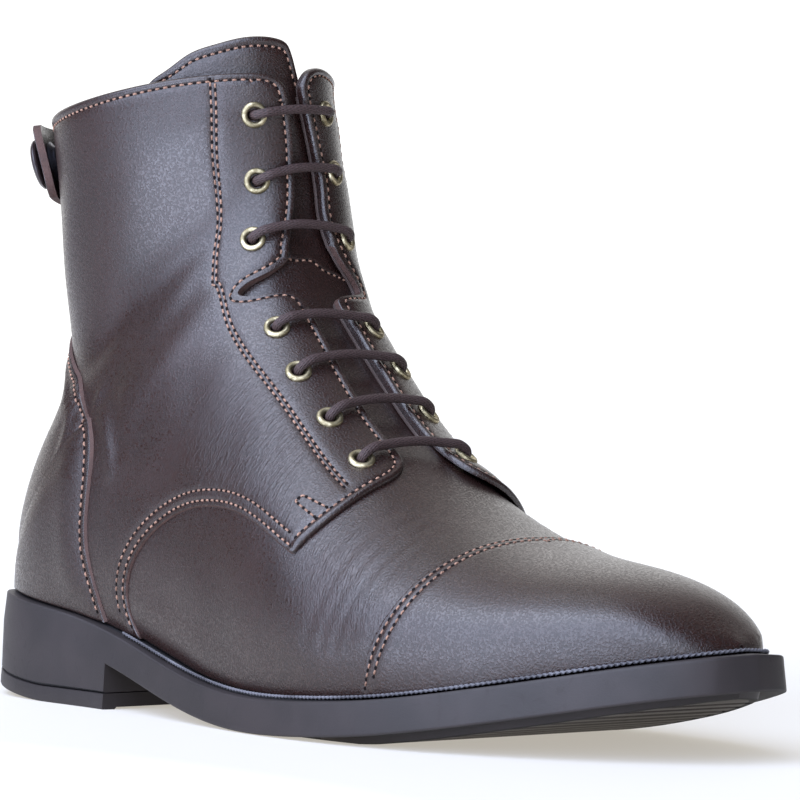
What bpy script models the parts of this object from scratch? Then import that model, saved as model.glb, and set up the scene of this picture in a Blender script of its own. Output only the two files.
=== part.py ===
"""A right jodhpur boot: moulded sole, lasted leather upper with toe cap, derby quarters, tongue,
eyelets with elastic bars, and a strap with a press stud across the back. Sizes are in millimetres."""
from collections import namedtuple

import bmesh
import bpy
import numpy as np

MM = 0.001
PLAN_CENTRE = np.array((-0.6, -5.5, 0.0))

# Heights above the form of the last, which is the outside of the quarters and the toe cap.
OVERLAY_OUT = 0.0
OVERLAY_IN = -1.0
UPPER_OUT = -1.4
UPPER_IN = -3.2
COUNTER_IN = 0.5
COUNTER_OUT = 1.6
TONGUE_OUT = -4.2
TONGUE_IN = -6.4
STRAP_THICKNESS = 2.2
STRAP_SEAT = 0.5
STRAP_LIFT = 2.4

# Sole unit.
SOLE_WALL = 9.0
SOLE_SEAT = 0.4
SOLE_FLARE = 0.8
WELT_WIDTH_HEEL = 3.6
WELT_WIDTH_TOE = 5.0
TREAD_INSET = 6.0
TREAD_STEP = 0.8
HEEL_BREAST_X = -64.0
HEEL_FLARE = 1.2
LIFT_THICKNESS = 4.4
LIFT_GAP = 0.3
LIFT_FLAT_X = -97.0
LIFT_BACK_X = -146.0
LIFT_BACK_RISE = 5.0
INSOLE_THICKNESS = 3.0
INSOLE_CLEARANCE = 2.0
INSOLE_JOINT_X = 60.0
INSOLE_TOE_SCALE = 0.94
BEAD_RADIUS = 0.9
BEAD_GIRTH = 0.976

# Fittings.
EYELET_RADIUS = 3.7
EYELET_HOLE = 2.0
EYELET_HEIGHT = 1.0
EYELET_SEAT = 0.3
PUNCH_RADIUS = 2.5
LACE_RADIUS = 1.3
LACE_HEIGHT = 2.4
LACE_END = 3.0
LACE_ARCH = 3.0
SNAP_RADIUS = 7.5
SNAP_HEIGHT = 2.4
SOCKET_RADIUS = 5.0

# Lines of the last's grid: stations along it, and shares of the half girth.
GRID_STATIONS = (2.0, 6.0, 13.0, 22.0, 34.0, 48.0, 64.0, 80.0, 95.0, 109.0, 122.0, 135.0, 148.0, 161.0, 174.0,
                 187.0, 200.0, 213.0, 226.0, 238.0, 246.0, 252.0, 256.0, 259.6, 266.0, 277.0, 290.0, 305.0,
                 320.0, 328.0, 337.0, 350.0, 365.0)
GRID_GIRTHS = (0.0, 0.09, 0.19, 0.30, 0.42, 0.54, 0.66, 0.77, 0.87, 0.95, 1.0)

# A row per section of the last, from the toe tip back to the heel and up to the top of the shaft.
# Each section is a plane through its back (lower) and front (upper) points, and square to the boot.
Section = namedtuple("Section", "back_x back_z front_x front_z centre_y half_lateral half_medial "
                                "edge_lateral edge_medial widest top_round")
SECTIONS = [
    Section(139.0, 26.8, 139.0, 28.3, 2.8, 0.0, 0.0, 0.0, 0.0, 0.50, 2.00),
    Section(136.3, 26.0, 134.0, 32.5, 2.6, 11.0, 10.0, 10.7, 9.8, 0.45, 1.80),
    Section(128.0, 24.2, 126.4, 38.7, 1.8, 21.0, 17.8, 20.5, 17.4, 0.42, 1.90),
    Section(112.0, 20.8, 109.5, 44.9, 0.8, 32.0, 26.5, 31.0, 26.0, 0.38, 1.95),
    Section(88.0, 16.2, 84.4, 48.8, -0.7, 41.5, 34.8, 40.5, 34.0, 0.34, 2.00),
    Section(62.0, 12.3, 59.0, 56.1, -2.1, 46.5, 40.5, 45.0, 39.5, 0.30, 2.10),
    Section(36.0, 10.2, 37.3, 66.6, -3.4, 47.5, 41.5, 45.5, 40.0, 0.28, 2.15),
    Section(8.0, 9.8, 19.2, 78.8, -3.9, 45.5, 39.6, 43.0, 36.0, 0.30, 2.30),
    Section(-22.0, 13.2, 5.5, 90.9, -3.7, 41.5, 38.2, 38.5, 32.0, 0.32, 2.54),
    Section(-54.0, 19.8, -5.0, 101.6, -3.3, 38.0, 37.8, 33.5, 30.0, 0.35, 2.68),
    Section(-86.0, 25.8, -12.9, 110.8, -3.0, 36.0, 38.2, 31.5, 30.5, 0.38, 2.65),
    Section(-114.0, 28.8, -17.4, 117.3, -2.9, 35.0, 38.2, 28.8, 28.8, 0.40, 2.70),
    Section(-132.0, 30.2, -20.1, 123.4, -2.7, 34.0, 38.0, 19.5, 19.5, 0.41, 2.75),
    Section(-140.0, 31.0, -21.8, 128.5, -2.3, 32.9, 37.6, 0.0, 0.0, 0.42, 2.68),
    Section(-139.3, 47.0, -24.0, 135.5, -1.9, 30.6, 36.9, -27.0, -27.0, 0.44, 2.56),
    Section(-127.2, 68.0, -25.6, 143.0, -1.6, 28.4, 36.0, -40.0, -40.0, 0.46, 2.44),
    Section(-119.6, 91.0, -26.6, 150.5, -2.2, 29.3, 35.5, -40.0, -40.0, 0.48, 2.28),
    Section(-119.2, 114.0, -26.8, 157.8, -3.3, 32.2, 35.5, -40.0, -40.0, 0.49, 2.12),
    Section(-118.5, 138.0, -26.7, 165.5, -4.4, 34.8, 35.6, -40.0, -40.0, 0.50, 2.00),
    Section(-120.6, 167.0, -26.8, 175.0, -5.1, 37.0, 35.6, -40.0, -40.0, 0.50, 1.90),
    Section(-122.9, 190.0, -27.2, 198.0, -5.6, 38.0, 36.2, -40.0, -40.0, 0.50, 1.90),
]
CLOSED_ROW = 13
COLLAR_ROW = 19

# Pattern lines: station along the last, and share of the half girth out from the ridge line.
Mark = namedtuple("Mark", "station girth")
QUARTER_FRONT = [Mark(193.0, 1.0), Mark(201.0, 0.915), Mark(203.7, 0.832), Mark(200.6, 0.725),
                 Mark(190.0, 0.628), Mark(178.0, 0.580), Mark(152.0, 0.548), Mark(129.0, 0.584)]
QUARTER_STEP = [Mark(129.0, 0.584), Mark(122.6, 0.430), Mark(120.6, 0.260), Mark(121.6, 0.170),
                Mark(126.0, 0.105), Mark(134.0, 0.082)]
FACING_LOW = [Mark(134.0, 0.082), Mark(150.0, 0.075), Mark(176.0, 0.064), Mark(218.0, 0.050)]
NOTCH = [Mark(218.0, 0.050), Mark(231.0, 0.057), Mark(238.0, 0.090), Mark(247.3, 0.158),
         Mark(250.8, 0.150), Mark(252.2, 0.080), Mark(255.5, 0.046)]
FACING_HIGH = [Mark(255.5, 0.046), Mark(275.0, 0.034), Mark(320.0, 0.027), Mark(353.0, 0.027)]
FACING_CORNER = [Mark(353.0, 0.027), Mark(359.5, 0.036), Mark(363.5, 0.060), Mark(365.0, 0.095)]
QUARTER_BACK = [Mark(320.0, 0.997), Mark(320.0, 0.95), Mark(305.0, 0.95), Mark(305.0, 0.87), Mark(290.0, 0.87),
                Mark(290.0, 0.77), Mark(277.0, 0.77), Mark(277.0, 0.66), Mark(252.0, 0.66), Mark(252.0, 0.77),
                Mark(238.0, 0.77), Mark(238.0, 0.87), Mark(226.0, 0.87), Mark(226.0, 0.95), Mark(213.0, 0.95),
                Mark(213.0, 1.0)]
CAP_EDGE = [Mark(99.0, 1.0), Mark(93.8, 0.840), Mark(87.9, 0.702), Mark(83.3, 0.507),
            Mark(81.6, 0.263), Mark(80.6, 0.0)]
COUNTER_EDGE = [Mark(206.0, 0.988), Mark(211.5, 0.934), Mark(217.5, 0.876), Mark(222.4, 0.830), Mark(227.3, 0.777),
                Mark(231.2, 0.728), Mark(237.8, 0.655), Mark(242.7, 0.608), Mark(247.9, 0.572), Mark(255.5, 0.532),
                Mark(265.4, 0.520), Mark(276.9, 0.575), Mark(294.0, 0.689), Mark(305.4, 0.788), Mark(312.5, 0.853),
                Mark(318.5, 0.912), Mark(323.0, 0.962), Mark(324.5, 1.0)]
TONGUE_EDGE_LATERAL = [Mark(123.0, -0.140), Mark(150.0, -0.150), Mark(215.0, -0.185), Mark(300.0, -0.270),
                       Mark(362.0, -0.345), Mark(369.0, -0.298), Mark(374.5, -0.210), Mark(377.2, -0.110)]
TONGUE_EDGE_MEDIAL = [Mark(377.2, -0.110), Mark(377.4, -0.040), Mark(374.5, 0.014), Mark(364.0, 0.048),
                      Mark(345.0, 0.130), Mark(300.0, 0.200), Mark(215.0, 0.185), Mark(150.0, 0.150),
                      Mark(123.0, 0.140)]
EYELETS_LATERAL = [Mark(341.0, -0.104), Mark(303.0, -0.107), Mark(268.0, -0.103), Mark(212.0, -0.147),
                   Mark(181.5, -0.177), Mark(154.0, -0.192), Mark(132.5, -0.215)]
EYELETS_MEDIAL = [Mark(345.0, 0.092), Mark(307.5, 0.085), Mark(266.0, 0.078), Mark(208.0, 0.108),
                  Mark(181.5, 0.143), Mark(156.0, 0.163), Mark(131.0, 0.168)]
STRAP_STATIONS = (345.0, 362.0)
STRAP_GIRTHS = (0.70, 1.215)
STRAP_GIRTH_LINES = (0.73, 0.76, 0.80, 0.84, 0.87, 0.90, 0.93, 0.955, 0.98, 1.0)
SNAP_MARK = Mark(353.5, 1.165)


class Spline:
    """Natural cubic spline through rows of values."""

    def __init__(self, knots, values):
        self.knots = np.asarray(knots, float)
        self.values = np.asarray(values, float)
        count = len(self.knots)
        gap = np.diff(self.knots)
        matrix = np.eye(count)
        right = np.zeros_like(self.values)
        for i in range(1, count - 1):
            matrix[i, i - 1:i + 2] = gap[i - 1], 2 * (gap[i - 1] + gap[i]), gap[i]
            rise = (self.values[i + 1] - self.values[i]) / gap[i]
            right[i] = 6 * (rise - (self.values[i] - self.values[i - 1]) / gap[i - 1])
        self.bend = np.linalg.solve(matrix, right)

    def __call__(self, at):
        at = np.clip(np.asarray(at, float), self.knots[0], self.knots[-1])
        i = np.clip(np.searchsorted(self.knots, at, side="right") - 1, 0, len(self.knots) - 2)
        gap = (self.knots[i + 1] - self.knots[i])[:, None]
        a = (self.knots[i + 1] - at)[:, None] / gap
        b = 1 - a
        straight = a * self.values[i] + b * self.values[i + 1]
        return straight + ((a ** 3 - a) * self.bend[i] + (b ** 3 - b) * self.bend[i + 1]) * gap ** 2 / 6


def section_stations(rows):
    """Distance along the last at which each section stands."""
    step = np.diff(rows[:, (0, 1, 2, 3, 5)], axis=0)
    return np.concatenate(([0.0], np.cumsum(np.sqrt((step ** 2).sum(1) / 2))))


TABLE = np.array(SECTIONS)
STATIONS = section_stations(TABLE)
TABLE[:, 7:9] = TABLE[:, 7:9] * np.abs(TABLE[:, 7:9])
SECTION_AT = Spline(STATIONS, TABLE)
CLOSED = STATIONS[CLOSED_ROW]
COLLAR = STATIONS[COLLAR_ROW]
ARC = np.linspace(0, np.pi / 2, 40)
EDGE_ANGLE = 0.95
HEEL_CENTRE = np.array((-111.0, -2.5, 0.0))
HEEL_SEAT_REACH = (34.0, 0.20)


def wrapped(girth):
    """Girth carried over the back seam, where a panel runs past it."""
    girth = np.asarray(girth, float)
    return np.where(np.abs(girth) > 1, (girth + 1) % 2 - 1, girth)


def surface(station, girth):
    """Points of the form: girth runs from -1 at the lateral edge over 0 at the ridge to 1 at the medial edge."""
    station = np.asarray(station, float)
    girth = wrapped(girth)
    row = SECTION_AT(station).T
    back_x, back_z, front_x, front_z, centre_y, lateral, medial, edge_l, edge_m, widest, top_round = row
    side = np.where(girth < 0, -1.0, 1.0)
    half = np.maximum(np.where(girth < 0, lateral, medial), 0)
    edge = np.minimum(np.sqrt(np.maximum(np.where(girth < 0, edge_l, edge_m), 0)), half)
    power = (2 / top_round)[:, None]
    start = (EDGE_ANGLE * edge / np.maximum(half, 1e-6))[:, None]
    turn = start + (np.pi / 2 - start) * ARC / ARC[-1]
    low_y = edge[:, None] + (half - edge)[:, None] * (np.sin(turn) - np.sin(start)) / (1 - np.sin(start))
    low_n = widest[:, None] * (np.cos(start) - np.cos(turn)) / np.cos(start)
    top_y = half[:, None] * np.cos(ARC).clip(0) ** power
    top_n = widest[:, None] + (1 - widest)[:, None] * np.sin(ARC) ** power
    y = np.concatenate((low_y, top_y[:, 1:]), 1)
    n = np.concatenate((low_n, top_n[:, 1:]), 1)
    tall = np.hypot(front_x - back_x, front_z - back_z)[:, None]
    run = np.hypot(np.diff(y, axis=1), np.diff(n, axis=1) * tall)
    run = np.concatenate((np.zeros((len(station), 1)), np.cumsum(run, 1)), 1)
    want = (1 - np.abs(girth)) * run[:, -1]
    k = np.clip((run <= want[:, None]).sum(1) - 1, 0, y.shape[1] - 2)
    i = np.arange(len(station))
    f = (want - run[i, k]) / np.maximum(run[i, k + 1] - run[i, k], 1e-9)
    y = y[i, k] + (y[i, k + 1] - y[i, k]) * f
    n = n[i, k] + (n[i, k + 1] - n[i, k]) * f
    return np.stack((back_x + (front_x - back_x) * n, centre_y + side * y, back_z + (front_z - back_z) * n), 1)


def normals(station, girth):
    """Outward directions of the form."""
    station = np.asarray(station, float)
    girth = wrapped(girth)
    low = np.maximum(station - 0.6, 0.4)
    along = surface(np.maximum(station + 0.6, 2.0), girth) - surface(low, girth)
    limit = np.where(station < CLOSED, 1.0, 3.0)
    sign = np.where(girth < 0, -1.0, 1.0)
    outer = np.where(np.abs(girth) + 0.01 > limit, sign * 1.0, girth + sign * 0.01)
    around = surface(station.clip(1.2), outer) - surface(station.clip(1.2), girth - sign * 0.01)
    around *= sign[:, None]
    out = np.cross(around, along)
    tip = np.clip(station / 4.0, 0, 1)
    out[:, 1] *= tip * tip * (3 - 2 * tip)
    out /= np.linalg.norm(out, axis=1, keepdims=True)
    near = 1 - np.hypot((station - CLOSED) / HEEL_SEAT_REACH[0], (1 - np.abs(girth)) / HEEL_SEAT_REACH[1])
    near = (near.clip(0, 0.5) * 2)[:, None]
    round_heel = surface(station, girth) - HEEL_CENTRE
    round_heel[:, 2] = 0
    round_heel /= np.linalg.norm(round_heel, axis=1, keepdims=True)
    out = out * (1 - near) + round_heel * near
    return out / np.linalg.norm(out, axis=1, keepdims=True)


def lasted(station, girth, height):
    """Points at a height above the form."""
    station = np.atleast_1d(np.asarray(station, float))
    girth = np.atleast_1d(np.asarray(girth, float))
    return surface(station, girth) + normals(station, girth) * np.reshape(height, (-1, 1))


def smooth(marks, parts):
    """A smooth pattern line through marks."""
    marks = np.array(marks, float)
    scale = np.array((1.0, 120.0))
    knots = np.concatenate(([0.0], np.cumsum(np.linalg.norm(np.diff(marks * scale, axis=0), axis=1))))
    at = np.concatenate([np.linspace(a, b, parts, endpoint=False) for a, b in zip(knots, knots[1:])] + [knots[-1:]])
    return Spline(knots, marks)(at)


def joined(*lines):
    """One outline from pattern lines that follow each other."""
    points = []
    for line in lines:
        for point in line:
            if not points or np.hypot(point[0] - points[-1][0], 120 * (point[1] - points[-1][1])) > 0.3:
                points.append((float(point[0]), float(point[1])))
    return points


def sided(line, side):
    """A pattern line carried to the lateral or the medial half."""
    return [(station, side * girth) for station, girth in line]


def new_object(name, points, faces, material, smooth_shade=True):
    """An object of the boot from points in millimetres."""
    mesh = bpy.data.meshes.new(name)
    mesh.from_pydata([tuple(p) for p in (np.asarray(points) - PLAN_CENTRE) * MM], [], faces)
    bm = bmesh.new()
    bm.from_mesh(mesh)
    bmesh.ops.remove_doubles(bm, verts=bm.verts, dist=0.00002)
    bmesh.ops.dissolve_degenerate(bm, dist=0.00001, edges=bm.edges)
    bmesh.ops.recalc_face_normals(bm, faces=bm.faces)
    if bm.calc_volume(signed=True) < 0:
        bmesh.ops.reverse_faces(bm, faces=bm.faces)
    bm.to_mesh(mesh)
    bm.free()
    mesh.materials.append(material)
    if smooth_shade:
        mesh.shade_smooth()
    made = bpy.data.objects.new(name, mesh)
    bpy.context.scene.collection.objects.link(made)
    return made


def pattern_cells(outline, grid):
    """The flat pattern of a panel, cut along the lines of the last's grid and into triangles."""
    bm = bmesh.new()
    bm.faces.new([bm.verts.new((s, g * 100, 0)) for s, g in outline])
    stations = np.array([p[0] for p in outline])
    girths = np.array([p[1] for p in outline])
    girth_lines = [-g for g in grid[1]] + list(grid[1]) + [2 - g for g in grid[1]]
    cuts = [((line, 0, 0), (1, 0, 0)) for line in grid[0] if stations.min() < line < stations.max()]
    cuts += [((0, line * 100, 0), (0, 1, 0)) for line in sorted(set(girth_lines))
             if girths.min() < line < girths.max()]
    for place, across in cuts:
        geometry = bm.verts[:] + bm.edges[:] + bm.faces[:]
        bmesh.ops.bisect_plane(bm, geom=geometry, dist=0.1, plane_co=place, plane_no=across)
    bm.verts.index_update()
    marks = np.array([(v.co.x, v.co.y / 100) for v in bm.verts])
    for vert in bm.verts:
        vert.co.y += 0.2 * vert.co.x
    bmesh.ops.triangulate(bm, faces=bm.faces, quad_method="SHORT_EDGE", ngon_method="BEAUTY")
    faces = [[v.index for v in face.verts] for face in bm.faces]
    bm.free()
    return marks, faces


def lasted_panel(name, outline, heights, material, seam=False, grid=(GRID_STATIONS, GRID_GIRTHS)):
    """A leather panel of even thickness, cut to its outline and drawn over the last."""
    marks, faces = pattern_cells(outline, grid)
    outer = lasted(marks[:, 0], marks[:, 1], heights[0](marks) if callable(heights[0]) else heights[0])
    inner = lasted(marks[:, 0], marks[:, 1], heights[1](marks) if callable(heights[1]) else heights[1])
    keep = np.arange(len(marks))
    if seam:
        ends = np.nonzero((np.abs(np.abs(marks[:, 1]) - 1) < 1e-4) & (marks[:, 0] > CLOSED - 0.5))[0]
        tip = np.nonzero(marks[:, 0] < 0.5)[0]
        for group in (ends, tip):
            for a in group:
                for b in group:
                    if b < a and np.linalg.norm(outer[a] - outer[b]) < 0.6:
                        keep[a] = min(keep[a], keep[b])
    for a, b in enumerate(keep):
        if a != b:
            outer[b] = (outer[a] + outer[b]) / 2
            inner[b] = (inner[a] + inner[b]) / 2
    count = len(marks)
    solid = []
    border = {}
    for face in faces:
        loop = [int(keep[v]) for v in face]
        loop = [v for i, v in enumerate(loop) if v != loop[i - 1]]
        if len(loop) < 3:
            continue
        solid.append(loop)
        solid.append([v + count for v in reversed(loop)])
        for a, b in zip(loop, loop[1:] + loop[:1]):
            if (b, a) in border:
                del border[(b, a)]
            else:
                border[(a, b)] = True
    solid += [[b, a, a + count, b + count] for a, b in border]
    return new_object(name, np.concatenate((outer, inner)), solid, material)


def feather_ring(count, height=0.0):
    """The lasting edge as a ring: toe tip, lateral side, heel, medial side; with its outward plan
    direction, and how far the wall above leans out over it."""
    share = np.linspace(0, 1, count + 1)
    station = CLOSED * (0.5 - 0.5 * np.cos(np.pi * share)) * 0.85 + CLOSED * share * 0.15
    lateral = lasted(station, np.full(count + 1, -1.0), height)
    medial = lasted(station, np.full(count + 1, 1.0), height)
    ring = np.concatenate((lateral, medial[-2:0:-1]))
    ring[0, 1] = ring[1, 1] * 0.5 + ring[-1, 1] * 0.5
    ring[count, 1] = ring[count - 1, 1] * 0.5 + ring[count + 1, 1] * 0.5
    flow = np.roll(ring, -1, 0) - np.roll(ring, 1, 0)
    flow[:, 2] = 0
    flow /= np.linalg.norm(flow, axis=1, keepdims=True)
    outward = np.stack((flow[:, 1], -flow[:, 0], 0 * flow[:, 0]), 1)
    if outward[0, 0] < 0:
        outward = -outward
    stations = np.concatenate((station, station[-2:0:-1]))
    girth = np.where(np.arange(2 * count) <= count, -BEAD_GIRTH, BEAD_GIRTH)
    overhang = ((surface(stations, girth) - ring) * outward).sum(1).clip(0)
    overhang[[0, count]] = 0
    return ring, outward, overhang


def rows_across(ring, first, last, count, flip=False):
    """Faces that close a ring between a lateral and a medial run, station by station."""
    total = 2 * count
    faces = []
    for i in range(first, last):
        loop = [ring[i], ring[i + 1], ring[(total - i - 1) % total], ring[(total - i) % total]]
        loop = [v for k, v in enumerate(loop) if v != loop[k - 1]]
        faces.append(loop[::-1] if flip else loop)
    return faces


def welt_width(x):
    """How far the sole stands out past the upper."""
    return np.interp(x, (-85.0, -30.0, 60.0), (WELT_WIDTH_HEEL, 4.0, WELT_WIDTH_TOE))


def lift_floor(x):
    """Underside of the heel: flat behind the breast, then rising a little to the back."""
    back = np.clip((LIFT_FLAT_X - np.asarray(x)) / (LIFT_FLAT_X - LIFT_BACK_X), 0, 1.1)
    return LIFT_BACK_RISE * back ** 1.4


def build_outsole(rubber, lift_rubber):
    """The moulded sole with its heel block, and the top lift under it."""
    count = 30
    total = 2 * count
    ring, outward, overhang = feather_ring(count)
    edge = ring + outward * welt_width(ring[:, 0])[:, None]
    breast = int(np.argmin(np.abs(edge[:count + 1, 0] - HEEL_BREAST_X)))
    side = ring[count::-1]
    for k in (breast, total - breast):
        edge[k, 0] = HEEL_BREAST_X
        edge[k, 2] = np.interp(HEEL_BREAST_X, side[:, 0], side[:, 2])
    top = edge - (0, 0, SOLE_SEAT)
    low = edge + outward * SOLE_FLARE - (0, 0, SOLE_SEAT + SOLE_WALL)
    inset = edge - outward * TREAD_INSET
    inset[:, 2] = low[:, 2]
    tread = edge - outward * (TREAD_INSET + TREAD_STEP)
    depth = np.interp(tread[:, 0], (-30.0, 15.0, 60.0), (0.4, 0.7, 2.3))
    tread[:, 2] = np.maximum(0.0, low[:, 2] - depth)
    heel = edge + outward * HEEL_FLARE
    heel[:, 2] = lift_floor(heel[:, 0]) + LIFT_THICKNESS + LIFT_GAP
    points = np.concatenate((top, low, inset, tread, heel))
    rings = [[layer * total + k for k in range(total)] for layer in range(5)]
    r_top, r_low, r_inset, r_tread, r_heel = rings
    faces = rows_across(r_top, 0, count, count)
    fore = list(range(0, breast)) + list(range(total - breast, total))
    for k in fore:
        j = (k + 1) % total
        faces.append([r_top[k], r_top[j], r_low[j], r_low[k]])
        faces.append([r_low[k], r_low[j], r_inset[j], r_inset[k]])
        faces.append([r_inset[k], r_inset[j], r_tread[j], r_tread[k]])
    faces += rows_across(r_tread, 0, breast, count, True)
    for k in range(breast, total - breast):
        loop = [r_top[k], r_top[k + 1], r_heel[k + 1], r_heel[k]]
        if k == breast:
            loop.append(r_low[k])
        if k + 1 == total - breast:
            loop.insert(2, r_low[k + 1])
        faces.append(loop)
    faces += rows_across(r_heel, breast, count, count, True)
    a, b = breast, total - breast
    faces.append([r_low[a], r_heel[a], r_heel[b], r_low[b], r_inset[b], r_tread[b], r_tread[a], r_inset[a]])
    used = sorted({v for face in faces for v in face})
    place = {v: i for i, v in enumerate(used)}
    new_object("outsole", points[used], [[place[v] for v in face] for face in faces], rubber, False)

    lift_top = heel - (0, 0, LIFT_GAP)
    lift_low = edge + outward * (HEEL_FLARE + 0.3)
    lift_low[:, 2] = lift_floor(lift_low[:, 0])
    points = np.concatenate((lift_top, lift_low))
    r_a, r_b = ([layer * total + k for k in range(total)] for layer in range(2))
    faces = rows_across(r_a, breast, count, count) + rows_across(r_b, breast, count, count, True)
    faces += [[r_a[k], r_a[k + 1], r_b[k + 1], r_b[k]] for k in range(breast, total - breast)]
    faces.append([r_a[breast], r_b[breast], r_b[total - breast], r_a[total - breast]])
    used = sorted({v for face in faces for v in face})
    place = {v: i for i, v in enumerate(used)}
    new_object("heel_top_lift", points[used], [[place[v] for v in face] for face in faces], lift_rubber, False)


def build_insole(fabric):
    """The board that the foot stands on, inside the upper's lower edge."""
    count = 20
    total = 2 * count
    ring, outward, overhang = feather_ring(count)
    ring = ring + outward * (UPPER_IN - INSOLE_CLEARANCE)
    fore = ring[:, 0] > INSOLE_JOINT_X
    ring[fore, 0] = INSOLE_JOINT_X + (ring[fore, 0] - INSOLE_JOINT_X) * INSOLE_TOE_SCALE
    low = ring + (0, 0, 0.1)
    top = ring + (0, 0, 0.1 + INSOLE_THICKNESS)
    r_a, r_b = ([layer * total + k for k in range(total)] for layer in range(2))
    faces = rows_across(r_a, 0, count, count) + rows_across(r_b, 0, count, count, True)
    faces += [[r_a[k], r_a[(k + 1) % total], r_b[(k + 1) % total], r_b[k]] for k in range(total)]
    new_object("insole", np.concatenate((top, low)), faces, fabric)


def build_tube(name, path, radius, sides, material):
    """A round cord or bead along a path, closed at its ends."""
    path = np.asarray(path, float)
    flow = np.gradient(path, axis=0)
    flow /= np.linalg.norm(flow, axis=1, keepdims=True)
    lead = np.cross(flow[0], (0.13, 0.2, 1.0))
    points = []
    for place, ahead in zip(path, flow):
        lead = lead - ahead * (lead @ ahead)
        lead /= np.linalg.norm(lead)
        other = np.cross(ahead, lead)
        for turn in np.arange(sides) * 2 * np.pi / sides:
            points.append(place + radius * (np.cos(turn) * lead + np.sin(turn) * other))
    faces = [list(range(sides))[::-1], [len(points) - sides + k for k in range(sides)]]
    for i in range(len(path) - 1):
        for k in range(sides):
            j = (k + 1) % sides
            faces.append([i * sides + k, i * sides + j, (i + 1) * sides + j, (i + 1) * sides + k])
    return new_object(name, points, faces, material)


def build_welt(rubber):
    """The bead round the lasting edge from breast to breast."""
    count = 26
    ring, outward, overhang = feather_ring(count)
    path = ring + outward * (BEAD_RADIUS + 0.5 + overhang)[:, None]
    path[:, 2] += BEAD_RADIUS - SOLE_SEAT + 0.35
    wanted = [k for k in range(2 * count) if path[k, 0] > HEEL_BREAST_X + 4]
    start = next(i for i, k in enumerate(wanted) if k > count)
    order = wanted[start:] + wanted[:start]
    build_tube("welt", path[order], BEAD_RADIUS, 6, rubber)


def frame_at(station, girth):
    """Point and axes of the form at one mark: place, outward, along and around."""
    place = lasted(station, girth, 0.0)[0]
    out = normals(np.array((station,)), np.array((girth,)))[0]
    along = lasted(station + 1.0, girth, 0.0)[0] - lasted(station - 1.0, girth, 0.0)[0]
    along -= out * (along @ out)
    along /= np.linalg.norm(along)
    return place, out, along, np.cross(out, along)


def build_turned(name, mark, profile, sides, material):
    """A turned piece standing on the form: a profile of radius and height, closed on itself or on its axis."""
    place, out, along, around = frame_at(*mark)
    points = []
    for radius, height in profile:
        for turn in np.arange(sides) * 2 * np.pi / sides:
            points.append(place + out * height + radius * (np.cos(turn) * along + np.sin(turn) * around))
    faces = []
    ringed = profile[0][0] > 0.6
    for i in range(len(profile) if ringed else len(profile) - 1):
        j = (i + 1) % len(profile)
        for k in range(sides):
            m = (k + 1) % sides
            faces.append([i * sides + k, i * sides + m, j * sides + m, j * sides + k])
    return new_object(name, points, faces, material)


def build_eyelets(brass, leather_nodes):
    """Metal eyelets in the facings, and the punched holes under them."""
    cutters = []
    low = EYELET_SEAT
    for word, row in (("lateral", EYELETS_LATERAL), ("medial", EYELETS_MEDIAL)):
        for number, spot in enumerate(row, 1):
            profile = [(EYELET_HOLE, low), (EYELET_RADIUS, low), (EYELET_RADIUS - 0.9, low + EYELET_HEIGHT),
                       (EYELET_HOLE + 0.4, low + EYELET_HEIGHT)]
            build_turned(f"eyelet_{word}_{number}", spot, profile, 9, brass)
            shaft = [(0.01, -8.0), (PUNCH_RADIUS, -8.0), (PUNCH_RADIUS, 3.0), (0.01, 3.0)]
            cutters.append(build_turned(f"punch_{word}_{number}", spot, shaft, 8, brass))
    bpy.ops.object.select_all(action="DESELECT")
    for cutter in cutters:
        cutter.select_set(True)
    bpy.context.view_layer.objects.active = cutters[0]
    bpy.ops.object.join()
    punch = cutters[0]
    punch.name = "punch"
    punch.hide_render = True
    punch.display_type = "WIRE"
    for node in leather_nodes:
        cut = node.modifiers.new("eyelet_holes", "BOOLEAN")
        cut.operation = "DIFFERENCE"
        cut.solver = "EXACT"
        cut.object = punch


def build_laces(cord):
    """The elastic bars between the eyelets of a pair."""
    share = np.linspace(-1, 1, 7)
    for number, ends in enumerate(zip(EYELETS_LATERAL, EYELETS_MEDIAL), 1):
        station, girth = np.array([np.interp(share, (-1, 1), pair) for pair in zip(*ends)])
        station = station + LACE_ARCH * (1 - share ** 2)
        reach = 1 - np.abs(share)
        height = np.interp(reach, (0.0, 0.35, 0.7, 1.0), (LACE_END, LACE_END, LACE_HEIGHT, LACE_HEIGHT))
        build_tube(f"lace_bar_{number}", lasted(station, girth, height), LACE_RADIUS, 6, cord)


def build_strap(leather, metal, inner_metal):
    """The strap across the back, with its press stud at the lateral end."""
    low, high = STRAP_STATIONS
    start, end = STRAP_GIRTHS
    outline = [(low, start), (low, end - 0.02), (low + 3.0, end), (high - 3.0, end), (high, end - 0.02),
               (high, start)]

    def seat(marks):
        rise = np.clip((marks[:, 1] - 0.97) / 0.12, 0, 1)
        return STRAP_SEAT + STRAP_LIFT * rise * rise * (3 - 2 * rise)

    def face(marks):
        return seat(marks) + STRAP_THICKNESS

    lasted_panel("back_strap", outline, (face, seat), leather, grid=((353.5,), STRAP_GIRTH_LINES))
    top = STRAP_SEAT + STRAP_LIFT + STRAP_THICKNESS + 0.6
    build_turned("snap_cap", SNAP_MARK, [(0.01, top), (SNAP_RADIUS, top), (SNAP_RADIUS - 1.0, top + SNAP_HEIGHT),
                                         (0.01, top + SNAP_HEIGHT)], 16, metal)
    build_turned("snap_socket", SNAP_MARK, [(0.01, 0.5), (SOCKET_RADIUS, 0.5),
                                            (SOCKET_RADIUS, STRAP_SEAT + STRAP_LIFT - 0.5),
                                            (0.01, STRAP_SEAT + STRAP_LIFT - 0.5)], 14, inner_metal)


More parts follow.
